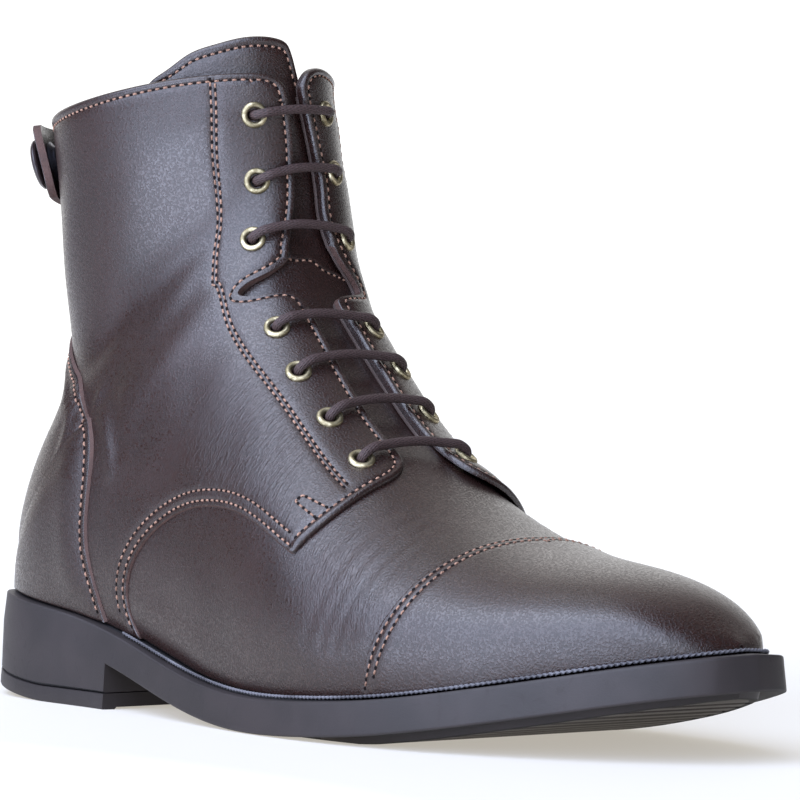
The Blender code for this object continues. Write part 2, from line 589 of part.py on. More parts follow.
def half_outline(side):
    """Outline of one quarter."""
    parts = [smooth(QUARTER_FRONT, 2), smooth(QUARTER_STEP, 2), smooth(FACING_LOW, 1), smooth(NOTCH, 1),
             smooth(FACING_HIGH, 1), smooth(FACING_CORNER, 1)]
    line = joined(*parts, [(COLLAR, 0.997)], QUARTER_BACK)
    return sided(line, side)


def upper_outline():
    """Outline of the hollow upper, with its throat and ankle notches open."""
    throat = joined(smooth(FACING_LOW, 1), smooth(NOTCH, 1), smooth(FACING_HIGH, 1), smooth(FACING_CORNER, 1))
    foot = [(128.0, 0.045), (131.0, 0.082)]
    lateral = sided(foot + throat[1:], -1)
    medial = sided(foot + throat[1:], 1)
    return joined([(0.0, -1.0), (CLOSED, -1.0), (COLLAR, -1.0)], lateral[::-1], medial,
                  [(COLLAR, 1.0), (CLOSED, 1.0), (0.0, 1.0)])


def material(name, colour, roughness, metallic=0.0):
    """A plain finish."""
    made = bpy.data.materials.new(name)
    made.use_nodes = True
    shader = made.node_tree.nodes["Principled BSDF"]
    shader.inputs["Base Color"].default_value = (*colour, 1.0)
    shader.inputs["Roughness"].default_value = roughness
    shader.inputs["Metallic"].default_value = metallic
    return made


def build():
    """All pieces of the boot."""
    leather = material("leather", (0.052, 0.030, 0.027), 0.42)
    lining = material("lining", (0.060, 0.040, 0.034), 0.6)
    rubber = material("sole_rubber", (0.035, 0.033, 0.037), 0.6)
    lift_rubber = material("lift_rubber", (0.028, 0.027, 0.030), 0.65)
    bead = material("welt_rubber", (0.012, 0.012, 0.013), 0.35)
    fabric = material("insole_fabric", (0.10, 0.075, 0.06), 0.85)
    brass = material("antique_brass", (0.30, 0.24, 0.15), 0.35, 1.0)
    cord = material("elastic_cord", (0.045, 0.028, 0.024), 0.7)
    dark_metal = material("stud_cap", (0.03, 0.022, 0.02), 0.35, 0.6)
    bright_metal = material("stud_socket", (0.45, 0.45, 0.46), 0.3, 1.0)

    build_outsole(rubber, lift_rubber)
    build_welt(bead)
    build_insole(fabric)
    upper = lasted_panel("upper", upper_outline(), (UPPER_OUT, UPPER_IN), lining, seam=True)
    cap = joined(smooth(sided(CAP_EDGE, -1), 2), smooth(sided(CAP_EDGE, 1)[::-1], 2))
    lasted_panel("toe_cap", cap + [(0.0, 1.0), (0.0, -1.0)], (OVERLAY_OUT, OVERLAY_IN), leather, seam=True)
    lateral = lasted_panel("quarter_lateral", half_outline(-1), (OVERLAY_OUT, OVERLAY_IN), leather)
    medial = lasted_panel("quarter_medial", half_outline(1), (OVERLAY_OUT, OVERLAY_IN), leather)
    edge = smooth(COUNTER_EDGE, 1)
    counter = joined(edge, [(s, 2 - g) for s, g in edge[::-1]],
                     [(250.0, 1.014), (CLOSED + 6.0, 1.0), (250.0, 0.986)])
    lasted_panel("heel_counter", counter, (COUNTER_OUT, COUNTER_IN), leather)
    tongue = joined(smooth(TONGUE_EDGE_LATERAL + TONGUE_EDGE_MEDIAL[1:], 2))
    lasted_panel("tongue", tongue, (TONGUE_OUT, TONGUE_IN), leather)
    build_eyelets(brass, (upper, lateral, medial))
    build_laces(cord)
    build_strap(leather, dark_metal, bright_metal)


for old in list(bpy.data.objects):
    bpy.data.objects.remove(old, do_unlink=True)
build()
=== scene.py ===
"""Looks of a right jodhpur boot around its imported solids: lasted leather panels with seams and stitches,
a moulded rubber sole, eyelets, elastic bars and a back strap. Sizes are in millimetres."""
from __future__ import annotations

import logging
import math
from dataclasses import dataclass, field
from enum import Enum
from typing import Callable, NamedTuple, Sequence

import bpy
import numpy as np
from mathutils import Matrix, Vector
from mathutils.geometry import delaunay_2d_cdt


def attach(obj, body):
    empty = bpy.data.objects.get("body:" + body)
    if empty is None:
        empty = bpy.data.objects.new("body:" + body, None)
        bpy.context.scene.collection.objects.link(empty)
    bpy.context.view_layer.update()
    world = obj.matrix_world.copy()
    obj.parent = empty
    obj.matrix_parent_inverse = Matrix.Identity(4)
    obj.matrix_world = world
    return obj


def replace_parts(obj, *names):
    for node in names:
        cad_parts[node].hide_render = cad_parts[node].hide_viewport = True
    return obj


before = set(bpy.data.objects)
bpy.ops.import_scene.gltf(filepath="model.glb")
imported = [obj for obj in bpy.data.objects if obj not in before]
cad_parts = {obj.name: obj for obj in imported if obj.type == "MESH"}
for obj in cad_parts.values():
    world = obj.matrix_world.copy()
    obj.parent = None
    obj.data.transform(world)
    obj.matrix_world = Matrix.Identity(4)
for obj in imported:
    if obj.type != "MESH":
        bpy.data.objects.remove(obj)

LOG = logging.getLogger("boot")
MM = 0.001
BODY = "root"
PLAN_CENTRE = np.array((-0.6, -5.5, 0.0))
Colour = tuple[float, float, float]
Height = float | Callable[[np.ndarray], np.ndarray]


class Side(Enum):
    """Half of the boot; the value is the sign of its girth and of its Y."""

    LATERAL = -1
    MEDIAL = 1


class Section(NamedTuple):
    """One section of the last: a plane through its back and front points, square to the boot."""

    back_x: float
    back_z: float
    front_x: float
    front_z: float
    centre_y: float
    half_lateral: float
    half_medial: float
    edge_lateral: float
    edge_medial: float
    widest: float
    top_round: float


class Mark(NamedTuple):
    """A place on the pattern: station along the last, and share of the half girth out from the ridge line."""

    station: float
    girth: float


def pattern(*rows: tuple[float, float]) -> tuple[Mark, ...]:
    """Marks from rows of station and girth."""
    return tuple(Mark(*row) for row in rows)


def mirrored(marks: Sequence[Mark], sign: int) -> tuple[Mark, ...]:
    """Marks of one half, carried to the half that the sign of the girth names."""
    return tuple(Mark(mark.station, sign * mark.girth) for mark in marks)


SECTIONS = (
    Section(139.0, 26.8, 139.0, 28.3, 2.8, 0.0, 0.0, 0.0, 0.0, 0.50, 2.00),
    Section(136.3, 26.0, 134.0, 32.5, 2.6, 11.0, 10.0, 10.7, 9.8, 0.45, 1.80),
    Section(128.0, 24.2, 126.4, 38.7, 1.8, 21.0, 17.8, 20.5, 17.4, 0.42, 1.90),
    Section(112.0, 20.8, 109.5, 44.9, 0.8, 32.0, 26.5, 31.0, 26.0, 0.38, 1.95),
    Section(88.0, 16.2, 84.4, 48.8, -0.7, 41.5, 34.8, 40.5, 34.0, 0.34, 2.00),
    Section(62.0, 12.3, 59.0, 56.1, -2.1, 46.5, 40.5, 45.0, 39.5, 0.30, 2.10),
    Section(36.0, 10.2, 37.3, 66.6, -3.4, 47.5, 41.5, 45.5, 40.0, 0.28, 2.15),
    Section(8.0, 9.8, 19.2, 78.8, -3.9, 45.5, 39.6, 43.0, 36.0, 0.30, 2.30),
    Section(-22.0, 13.2, 5.5, 90.9, -3.7, 41.5, 38.2, 38.5, 32.0, 0.32, 2.54),
    Section(-54.0, 19.8, -5.0, 101.6, -3.3, 38.0, 37.8, 33.5, 30.0, 0.35, 2.68),
    Section(-86.0, 25.8, -12.9, 110.8, -3.0, 36.0, 38.2, 31.5, 30.5, 0.38, 2.65),
    Section(-114.0, 28.8, -17.4, 117.3, -2.9, 35.0, 38.2, 28.8, 28.8, 0.40, 2.70),
    Section(-132.0, 30.2, -20.1, 123.4, -2.7, 34.0, 38.0, 19.5, 19.5, 0.41, 2.75),
    Section(-140.0, 31.0, -21.8, 128.5, -2.3, 32.9, 37.6, 0.0, 0.0, 0.42, 2.68),
    Section(-139.3, 47.0, -24.0, 135.5, -1.9, 30.6, 36.9, -27.0, -27.0, 0.44, 2.56),
    Section(-127.2, 68.0, -25.6, 143.0, -1.6, 28.4, 36.0, -40.0, -40.0, 0.46, 2.44),
    Section(-119.6, 91.0, -26.6, 150.5, -2.2, 29.3, 35.5, -40.0, -40.0, 0.48, 2.28),
    Section(-119.2, 114.0, -26.8, 157.8, -3.3, 32.2, 35.5, -40.0, -40.0, 0.49, 2.12),
    Section(-118.5, 138.0, -26.7, 165.5, -4.4, 34.8, 35.6, -40.0, -40.0, 0.50, 2.00),
    Section(-120.6, 167.0, -26.8, 175.0, -5.1, 37.0, 35.6, -40.0, -40.0, 0.50, 1.90),
    Section(-122.9, 190.0, -27.2, 198.0, -5.6, 38.0, 36.2, -40.0, -40.0, 0.50, 1.90),
)
CLOSED_ROW = 13
COLLAR_ROW = 19

QUARTER_FRONT = pattern((193.0, 1.0), (201.0, 0.915), (203.7, 0.832), (200.6, 0.725), (190.0, 0.628),
                        (178.0, 0.580), (152.0, 0.548), (129.0, 0.584))
QUARTER_STEP = {
    Side.LATERAL: pattern((129.0, 0.584), (122.6, 0.430), (120.6, 0.260), (121.6, 0.170), (126.0, 0.105),
                          (134.0, 0.082)),
    Side.MEDIAL: pattern((129.0, 0.584), (121.5, 0.430), (118.2, 0.270), (118.6, 0.175), (123.5, 0.105),
                         (134.0, 0.082)),
}
THROAT = {
    Side.LATERAL: pattern((134.0, 0.082), (150.0, 0.075), (176.0, 0.064), (205.0, 0.053), (218.0, 0.050)),
    Side.MEDIAL: pattern((134.0, 0.082), (150.0, 0.074), (176.0, 0.060), (205.0, 0.044), (218.0, 0.036)),
}
NOTCH = {
    Side.LATERAL: pattern((218.0, 0.050), (224.5, 0.0505), (230.8, 0.056), (235.2, 0.069), (237.6, 0.088),
                          (239.8, 0.117), (243.0, 0.140), (246.6, 0.154), (249.4, 0.155), (250.7, 0.141),
                          (251.0, 0.113), (252.4, 0.072), (255.1, 0.049)),
    Side.MEDIAL: pattern((218.0, 0.036), (226.0, 0.032), (230.2, 0.037), (234.0, 0.066), (238.5, 0.098),
                         (242.5, 0.112), (246.5, 0.106), (250.0, 0.091), (254.7, 0.064), (260.5, 0.040)),
}
FACING = {
    Side.LATERAL: pattern((255.1, 0.049), (263.4, 0.039), (295.0, 0.027), (328.3, 0.018), (350.0, 0.021)),
    Side.MEDIAL: pattern((260.5, 0.040), (266.0, 0.035), (306.5, 0.036), (340.0, 0.024), (355.0, 0.014)),
}
CORNER = {
    Side.LATERAL: pattern((350.0, 0.021), (356.5, 0.026), (361.2, 0.036), (364.2, 0.062), (365.2, 0.105)),
    Side.MEDIAL: pattern((355.0, 0.014), (362.0, 0.015), (366.4, 0.034), (368.3, 0.063), (368.5, 0.115)),
}
COLLAR_LINE = {
    Side.LATERAL: pattern((365.2, 0.105), (365.0, 0.181), (363.8, 0.325), (362.6, 0.461), (362.0, 0.677),
                          (362.2, 0.9985)),
    Side.MEDIAL: pattern((368.5, 0.115), (367.4, 0.180), (365.4, 0.325), (363.8, 0.461), (362.6, 0.677),
                         (362.2, 0.9985)),
}
QUARTER_BACK = pattern((318.0, 0.9985), (316.0, 0.972), (311.5, 0.932), (304.0, 0.865), (294.0, 0.770),
                       (277.0, 0.655), (265.0, 0.602), (256.0, 0.612), (246.0, 0.668), (237.0, 0.755),
                       (229.0, 0.840), (222.0, 0.905), (216.3, 0.965), (213.0, 1.0))
CAP_EDGE = pattern((99.0, 1.0), (93.8, 0.840), (87.9, 0.702), (83.3, 0.507), (81.6, 0.263), (80.6, 0.0))
COUNTER_EDGE = pattern((206.0, 0.994), (211.5, 0.934), (217.5, 0.876), (222.4, 0.830), (227.3, 0.777),
                       (231.2, 0.728), (237.8, 0.655), (242.7, 0.608), (247.9, 0.572), (255.5, 0.532),
                       (265.4, 0.520), (276.9, 0.575), (294.0, 0.689), (305.4, 0.788), (312.5, 0.853),
                       (318.5, 0.912), (323.0, 0.962), (324.5, 1.0))
VAMP_BACK = pattern((214.0, 1.0), (214.0, 0.90), (215.0, 0.82), (211.0, 0.70), (199.0, 0.60),
                    (180.0, 0.535), (156.0, 0.49), (142.0, 0.44), (137.0, 0.30), (136.5, 0.15),
                    (136.5, 0.0))
TONGUE_EDGE = pattern((123.0, -0.150), (150.0, -0.165), (215.0, -0.200), (300.0, -0.280), (355.0, -0.385),
                      (364.7, -0.344), (368.1, -0.298), (372.4, -0.241), (374.6, -0.181), (376.2, -0.122),
                      (376.7, -0.066), (376.3, -0.024), (375.0, 0.005), (372.9, 0.017), (368.2, 0.031),
                      (363.3, 0.043), (345.0, 0.130), (300.0, 0.200), (215.0, 0.190), (150.0, 0.160),
                      (123.0, 0.150))
EYESTAY = pattern((364.2, 0.186), (340.0, 0.190), (311.9, 0.194), (290.0, 0.187), (274.2, 0.178),
                  (262.0, 0.174), (243.4, 0.194), (203.7, 0.240), (158.3, 0.271), (126.5, 0.322))
EYELETS = {
    Side.LATERAL: pattern((341.0, 0.104), (303.0, 0.107), (268.0, 0.103), (212.0, 0.147), (181.5, 0.177),
                          (154.0, 0.192), (132.5, 0.215)),
    Side.MEDIAL: pattern((345.0, 0.092), (307.5, 0.085), (266.0, 0.078), (208.0, 0.108), (181.5, 0.143),
                         (156.0, 0.163), (131.0, 0.168)),
}
SNAP_MARK = Mark(353.5, 1.165)
STITCH_BOX = pattern((126.5, 0.462), (137.4, 0.446), (136.3, 0.420), (125.2, 0.416))
VAMP_CREASE = pattern((107.0, 0.84), (102.0, 0.68), (99.0, 0.55), (98.0, 0.44), (98.5, 0.27))
VAMP_FLEXES = ((104.0, 0.64, 16.0, 0.45), (113.0, 0.50, 15.0, 0.4), (124.0, 0.66, 14.0, 0.25))
QUARTER_FLEXES = ((176.0, 0.40, 20.0, 0.9), (156.0, 0.44, 16.0, 1.0), (200.0, 0.38, 18.0, 0.5),
                  (140.0, 0.50, 10.0, 0.6))
QUARTER_FOLDS = (
    (pattern((263.0, 0.474), (247.2, 0.533), (237.2, 0.583), (230.9, 0.623)), 0.40, 2.4),
    (pattern((259.0, 0.44), (246.0, 0.50), (234.0, 0.56)), -0.30, 3.5),
    (pattern((262.0, 0.22), (254.0, 0.34), (248.0, 0.44)), -0.22, 6.0),
    (pattern((236.0, 0.30), (222.0, 0.36), (200.0, 0.40)), -0.18, 7.0),
)
VAMP_SWELL = pattern((150.0, 0.98), (178.0, 0.94), (196.0, 0.93))
CAP_SWELL = pattern((90.0, -0.95), (84.0, -0.6), (80.0, 0.0), (84.0, 0.6), (90.0, 0.95))
COUNTER_RIDGE = pattern((219.6, 0.942), (225.1, 0.892), (232.7, 0.811), (238.5, 0.750), (245.1, 0.678),
                        (253.5, 0.611), (264.3, 0.560), (277.0, 0.625), (294.0, 0.735), (305.0, 0.83))
TONGUE_TROUGH = pattern((330.0, -0.02), (290.0, 0.0), (262.0, 0.01))
LAP_TOP = pattern((272.0, -0.175), (263.0, -0.075), (258.2, -0.040), (256.8, -0.030), (256.8, -0.006),
                  (256.2, 0.014), (253.6, 0.033), (252.0, 0.075), (253.0, 0.175))
LAP_MEDIAL = pattern((253.0, 0.175), (215.0, 0.172), (150.0, 0.145), (124.0, 0.135))
LAP_LATERAL = pattern((124.0, -0.135), (150.0, -0.145), (215.0, -0.172), (272.0, -0.175))
LAP_RIDGE = pattern((252.0, -0.01), (225.0, 0.0), (190.0, 0.0))


def run_along(path: np.ndarray) -> np.ndarray:
    """Length of a path up to each of its points."""
    return np.concatenate(([0.0], np.cumsum(np.linalg.norm(np.diff(path, axis=0), axis=1))))


def unit(rows: np.ndarray) -> np.ndarray:
    """Directions brought to length one."""
    return rows / np.linalg.norm(rows, axis=-1, keepdims=True)


def gentle(share: np.ndarray) -> np.ndarray:
    """A share from 0 to 1 that starts and ends softly."""
    return share * share * (3 - 2 * share)


def ring_faces(rings: int, sides: int) -> list[list[int]]:
    """Four-cornered faces between the rings of a tube.

    Args:
        rings: rings along the tube.
        sides: points of a ring.
    Returns:
        Loops of point numbers.
    """
    faces = []
    for i in range(0, (rings - 1) * sides, sides):
        for k in range(sides):
            j = (k + 1) % sides
            faces.append([i + k, i + j, i + sides + j, i + sides + k])
    return faces


class Spline:
    """Natural cubic spline through rows of values."""

    def __init__(self, knots: np.ndarray, values: np.ndarray) -> None:
        """Solve the bends.

        Args:
            knots: rising places of the rows.
            values: one row of numbers for each knot.
        """
        self.knots = np.asarray(knots, float)
        self.values = np.asarray(values, float)
        count = len(self.knots)
        gap = np.diff(self.knots)
        matrix = np.eye(count)
        right = np.zeros_like(self.values)
        for i in range(1, count - 1):
            matrix[i, i - 1:i + 2] = gap[i - 1], 2 * (gap[i - 1] + gap[i]), gap[i]
            rise = (self.values[i + 1] - self.values[i]) / gap[i]
            right[i] = 6 * (rise - (self.values[i] - self.values[i - 1]) / gap[i - 1])
        self.bend = np.linalg.solve(matrix, right)

    def __call__(self, at: np.ndarray) -> np.ndarray:
        """Rows of values at places along the knots.

        Args:
            at: the places.
        Returns:
            One row for each place.
        """
        at = np.clip(np.asarray(at, float), self.knots[0], self.knots[-1])
        i = np.clip(np.searchsorted(self.knots, at, side="right") - 1, 0, len(self.knots) - 2)
        gap = (self.knots[i + 1] - self.knots[i])[:, None]
        a = (self.knots[i + 1] - at)[:, None] / gap
        b = 1 - a
        straight = a * self.values[i] + b * self.values[i + 1]
        return straight + ((a ** 3 - a) * self.bend[i] + (b ** 3 - b) * self.bend[i + 1]) * gap ** 2 / 6


@dataclass
class Last:
    """The form that the leather is drawn over, and its flat pattern."""

    sections: Sequence[Section] = SECTIONS
    edge_angle: float = 0.95
    heel_centre: tuple[float, float, float] = (-111.0, -2.5, 0.0)
    heel_reach: tuple[float, float] = (34.0, 0.20)
    arc_parts: int = 40
    reach_step: float = 6.0
    toe_reach: float = 0.25
    near_station: float = 0.6
    near_girth: float = 0.01
    toe_tip: float = 4.0
    half_girth: float = 120.0
    search_reach: tuple[float, float] = (2.4, 0.03)
    search_rounds: int = 7

    def __post_init__(self) -> None:
        """Lay the sections along the last and measure its girths."""
        table = np.array(self.sections)
        step = np.diff(table[:, (0, 1, 2, 3, 5)], axis=0)
        stations = np.concatenate(([0.0], np.cumsum(np.sqrt((step ** 2).sum(1) / 2))))
        table[:, 7:9] *= np.abs(table[:, 7:9])
        self.row_at = Spline(stations, table)
        self.closed = float(stations[CLOSED_ROW])
        self.collar = float(stations[COLLAR_ROW])
        self.arc = np.linspace(0, math.pi / 2, self.arc_parts)
        at = np.arange(0.0, stations[-1], self.reach_step)
        run = (self.half_section(at, np.full(len(at), -1.0))[2][:, -1]
               + self.half_section(at, np.full(len(at), 1.0))[2][:, -1]) / 2
        run = np.convolve(np.pad(run, 2, mode="edge"), np.ones(5) / 5, mode="valid")
        run[0] = run[1] * self.toe_reach
        self.reach_at = (at, run)

    @staticmethod
    def wrapped(girth: np.ndarray) -> np.ndarray:
        """Girth carried over the back seam, where a panel runs past it."""
        girth = np.asarray(girth, float)
        return np.where(np.abs(girth) > 1, (girth + 1) % 2 - 1, girth)

    def half_section(self, station: np.ndarray,
                     girth: np.ndarray) -> tuple[np.ndarray, np.ndarray, np.ndarray]:
        """Half outlines of the sections on the side that each girth is on.

        Args:
            station: places along the last.
            girth: signed shares of the half girth; only the sign counts.
        Returns:
            Distance from the middle, share of the section's height, and length along the outline.
        """
        (back_x, back_z, front_x, front_z, _, lateral, medial, edge_l, edge_m, widest,
         top_round) = self.row_at(station).T
        half = np.maximum(np.where(girth < 0, lateral, medial), 0)
        edge = np.minimum(np.sqrt(np.maximum(np.where(girth < 0, edge_l, edge_m), 0)), half)
        power = (2 / top_round)[:, None]
        start = (self.edge_angle * edge / np.maximum(half, 1e-6))[:, None]
        turn = start + (math.pi / 2 - start) * self.arc / self.arc[-1]
        low_y = edge[:, None] + (half - edge)[:, None] * (np.sin(turn) - np.sin(start)) / (1 - np.sin(start))
        low_n = widest[:, None] * (np.cos(start) - np.cos(turn)) / np.cos(start)
        top_y = half[:, None] * np.cos(self.arc).clip(0) ** power
        top_n = widest[:, None] + (1 - widest)[:, None] * np.sin(self.arc) ** power
        y = np.concatenate((low_y, top_y[:, 1:]), 1)
        n = np.concatenate((low_n, top_n[:, 1:]), 1)
        tall = np.hypot(front_x - back_x, front_z - back_z)[:, None]
        run = np.hypot(np.diff(y, axis=1), np.diff(n, axis=1) * tall)
        return y, n, np.concatenate((np.zeros((len(y), 1)), np.cumsum(run, 1)), 1)

    def surface(self, station: np.ndarray, girth: np.ndarray) -> np.ndarray:
        """Points of the form at stations and girths.

        Args:
            station: places along the last.
            girth: signed shares of the half girth.
        Returns:
            One point for each pair.
        """
        station = np.asarray(station, float)
        girth = self.wrapped(girth)
        y, n, run = self.half_section(station, girth)
        want = (1 - np.abs(girth)) * run[:, -1]
        k = np.clip((run <= want[:, None]).sum(1) - 1, 0, y.shape[1] - 2)
        i = np.arange(len(station))
        f = (want - run[i, k]) / np.maximum(run[i, k + 1] - run[i, k], 1e-9)
        y = y[i, k] + (y[i, k + 1] - y[i, k]) * f
        n = n[i, k] + (n[i, k + 1] - n[i, k]) * f
        back_x, back_z, front_x, front_z, centre_y = self.row_at(station).T[:5]
        side = np.where(girth < 0, -1.0, 1.0)
        x = back_x + (front_x - back_x) * n
        return np.stack((x, centre_y + side * y, back_z + (front_z - back_z) * n), 1)

    def normals(self, station: np.ndarray, girth: np.ndarray) -> np.ndarray:
        """Outward directions of the form.

        Args:
            station: places along the last.
            girth: signed shares of the half girth.
        Returns:
            One direction for each pair.
        """
        station = np.asarray(station, float)
        girth = self.wrapped(girth)
        step = self.near_station
        along = self.surface(np.maximum(station + step, 2.0), girth)
        along -= self.surface(np.maximum(station - step, 0.4), girth)
        limit = np.where(station < self.closed, 1.0, 3.0)
        sign = np.where(girth < 0, -1.0, 1.0)
        past = np.abs(girth) + self.near_girth > limit
        outer = np.where(past, sign, girth + sign * self.near_girth)
        around = self.surface(station.clip(2 * step), outer)
        around -= self.surface(station.clip(2 * step), girth - sign * self.near_girth)
        out = np.cross(around * sign[:, None], along)
        out[:, 1] *= gentle(np.clip(station / self.toe_tip, 0, 1))
        out = unit(out)
        behind = (station - self.closed) / self.heel_reach[0]
        near = 1 - np.hypot(behind, (1 - np.abs(girth)) / self.heel_reach[1])
        near = (near.clip(0, 0.5) * 2)[:, None]
        round_heel = self.surface(station, girth) - np.array(self.heel_centre)
        round_heel[:, 2] = 0
        return unit(out * (1 - near) + unit(round_heel) * near)

    def lasted(self, marks: np.ndarray, height: np.ndarray | float) -> np.ndarray:
        """Points at a height above the form.

        Args:
            marks: rows of station and girth.
            height: one for all, or one for each row.
        Returns:
            One point for each row.
        """
        marks = np.atleast_2d(np.asarray(marks, float))
        out = self.normals(marks[:, 0], marks[:, 1])
        return self.surface(marks[:, 0], marks[:, 1]) + out * np.reshape(height, (-1, 1))

    def flat(self, marks: Sequence[Sequence[float]] | np.ndarray) -> np.ndarray:
        """Flat pattern points, in millimetres along and around, for rows of station and girth."""
        marks = np.asarray(marks, float)
        return np.stack((marks[:, 0], marks[:, 1] * np.interp(marks[:, 0], *self.reach_at)), 1)

    def marks(self, flat: np.ndarray) -> np.ndarray:
        """Rows of station and girth for flat pattern points."""
        return np.stack((flat[:, 0], flat[:, 1] / np.interp(flat[:, 0], *self.reach_at)), 1)

    def line(self, marks: Sequence[Mark], side: int = 1, pitch: float = 1.2, sharp: bool = False,
             true: bool = False) -> np.ndarray:
        """A flat pattern line through marks, evenly spaced.

        Args:
            marks: places that the line goes through.
            side: sign of the girth, for the lateral or the medial half.
            pitch: spacing of the points.
            sharp: straight from mark to mark, where a smooth curve isn't wanted.
            true: smooth over the measured girth, where the line crosses the heel seat.
        Returns:
            Flat points from the first mark to the last.
        """
        rows = np.array(marks, float)
        if true:
            rows[:, 1] *= self.half_section(rows[:, 0], rows[:, 1] * -1)[2][:, -1] / self.half_girth
        knots = run_along(rows * (1.0, self.half_girth))
        at = np.linspace(0, knots[-1], max(8, int(knots[-1] * 2)))
        if sharp:
            rows = np.stack([np.interp(at, knots, column) for column in rows.T], 1)
        else:
            rows = Spline(knots, rows)(at)
        if true:
            rows[:, 1] *= self.half_girth / self.half_section(rows[:, 0], rows[:, 1] * -1)[2][:, -1]
        rows[:, 1] *= side
        return resampled(self.flat(rows), pitch)

    def faired(self, line: np.ndarray, rounds: int = 60) -> np.ndarray:
        """A flat line made smooth as it lies on the form, with its ends kept.

        Args:
            line: flat points.
            rounds: how often it is smoothed.
        Returns:
            The moved flat points.
        """
        marks = self.marks(line)
        goal = self.surface(marks[:, 0], marks[:, 1])
        for _ in range(rounds):
            goal[1:-1] += 0.5 * (0.5 * (goal[:-2] + goal[2:]) - goal[1:-1])
        steps = np.stack(np.meshgrid(np.linspace(-1, 1, 5), np.linspace(-1, 1, 5)), -1).reshape(-1, 2)
        reach = np.array(self.search_reach)
        each = np.arange(len(line))
        for _ in range(self.search_rounds):
            tries = marks[:, None] + steps * reach
            found = self.surface(*tries.reshape(-1, 2).T).reshape(len(line), -1, 3)
            away = np.linalg.norm(found - goal[:, None], axis=2)
            marks[1:-1] = tries[each, away.argmin(1)][1:-1]
            reach = reach * 0.6
        return self.flat(marks)

    def frame_at(self, mark: Mark, height: float = 0.0) -> Matrix:
        """Axes of the form at a mark, in metres: across, along, outward and place.

        Args:
            mark: the place.
            height: distance above the form.
        Returns:
            Matrix of the axes.
        """
        spot = np.array([[mark.station, mark.girth]])
        out = self.normals(spot[:, 0], spot[:, 1])[0]
        along = self.surface(spot[:, 0] + 1, spot[:, 1])[0] - self.surface(spot[:, 0] - 1, spot[:, 1])[0]
        along = unit(along - out * (along @ out))
        place = (self.lasted(spot, height)[0] - PLAN_CENTRE) * MM
        axes = np.stack((np.cross(along, out), along, out, place), 1)
        return Matrix([*axes.tolist(), [0, 0, 0, 1]])


def resampled(line: np.ndarray, pitch: float) -> np.ndarray:
    """A line's points at an even spacing of about the pitch.

    Args:
        line: its points.
        pitch: wanted spacing.
    Returns:
        Points from the first to the last.
    """
    run = run_along(line)
    at = np.linspace(0, run[-1], max(2, int(round(run[-1] / pitch)) + 1))
    return np.stack([np.interp(at, run, column) for column in line.T], 1)


def line_distance(points: np.ndarray, line: np.ndarray, closed: bool = False) -> np.ndarray:
    """Distance from flat points to a line of straight pieces.

    Args:
        points: places to measure from.
        line: the line's points.
        closed: whether the last point joins the first.
    Returns:
        One distance for each point.
    """
    start = line if closed else line[:-1]
    step = (np.roll(line, -1, 0) if closed else line[1:]) - start
    size = np.maximum((step ** 2).sum(1), 1e-12)
    best = np.empty(len(points))
    chunk = 1500
    for first in range(0, len(points), chunk):
        gap = points[first:first + chunk, None] - start
        share = np.clip((gap * step).sum(-1) / size, 0, 1)
        gap -= share[..., None] * step
        best[first:first + chunk] = np.sqrt((gap ** 2).sum(-1).min(1))
    return best


def inside(points: np.ndarray, loop: np.ndarray) -> np.ndarray:
    """Which flat points lie in a closed loop.

    Args:
        points: places to test.
        loop: points of the loop.
    Returns:
        True for each point inside.
    """
    after = np.roll(loop, -1, 0)
    found = np.zeros(len(points), bool)
    for (x0, y0), (x1, y1) in zip(loop, after):
        spans = (y0 > points[:, 1]) != (y1 > points[:, 1])
        if y0 != y1:
            found ^= spans & (points[:, 0] < (x1 - x0) * (points[:, 1] - y0) / (y1 - y0) + x0)
    return found


def shifted(line: np.ndarray, distance: float, closed: bool = False) -> np.ndarray:
    """A line moved sideways, to the left of its run.

    Args:
        line: flat points.
        distance: how far; negative to the right.
        closed: whether the last point joins the first.
    Returns:
        The moved points.
    """
    ahead = np.roll(line, -1, 0) - line
    behind = line - np.roll(line, 1, 0)
    if not closed:
        ahead[-1] = behind[-1]
        behind[0] = ahead[0]
    ahead /= np.maximum(np.linalg.norm(ahead, axis=1, keepdims=True), 1e-9)
    behind /= np.maximum(np.linalg.norm(behind, axis=1, keepdims=True), 1e-9)
    run = ahead + behind
    run /= np.maximum(np.linalg.norm(run, axis=1, keepdims=True), 1e-9)
    stretch = 1 / np.maximum((run * ahead).sum(1), 0.6)
    return line + np.stack((-run[:, 1], run[:, 0]), 1) * (distance * stretch)[:, None]


def new_piece(name: str, points: np.ndarray, faces: Sequence[Sequence[int]],
              sharp_deg: float) -> bpy.types.Object:
    """An object of the boot from points in millimetres, shaded smooth below an angle.

    Args:
        name: the piece's name.
        points: places in the last's frame.
        faces: loops of point numbers.
        sharp_deg: edges that bend more than this stay sharp.
    Returns:
        The object, riding on the boot's body.
    """
    mesh = bpy.data.meshes.new(name)
    places = (np.asarray(points) - PLAN_CENTRE) * MM
    mesh.from_pydata(places.tolist(), [], [list(map(int, face)) for face in faces])
    mesh.validate()
    mesh.shade_smooth()
    mesh.set_sharp_from_angle(angle=math.radians(sharp_deg))
    made = bpy.data.objects.new(name, mesh)
    bpy.context.scene.collection.objects.link(made)
    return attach(made, BODY)


def set_uv(made: bpy.types.Object, name: str, values: np.ndarray) -> None:
    """Give a piece a UV map.

    Args:
        made: the piece.
        name: the map's name.
        values: one pair for each point.
    """
    mesh = made.data
    corner = np.empty(len(mesh.loops), np.int32)
    mesh.loops.foreach_get("vertex_index", corner)
    layer = mesh.uv_layers.new(name=name)
    layer.data.foreach_set("uv", np.asarray(values, np.float32)[corner].ravel())


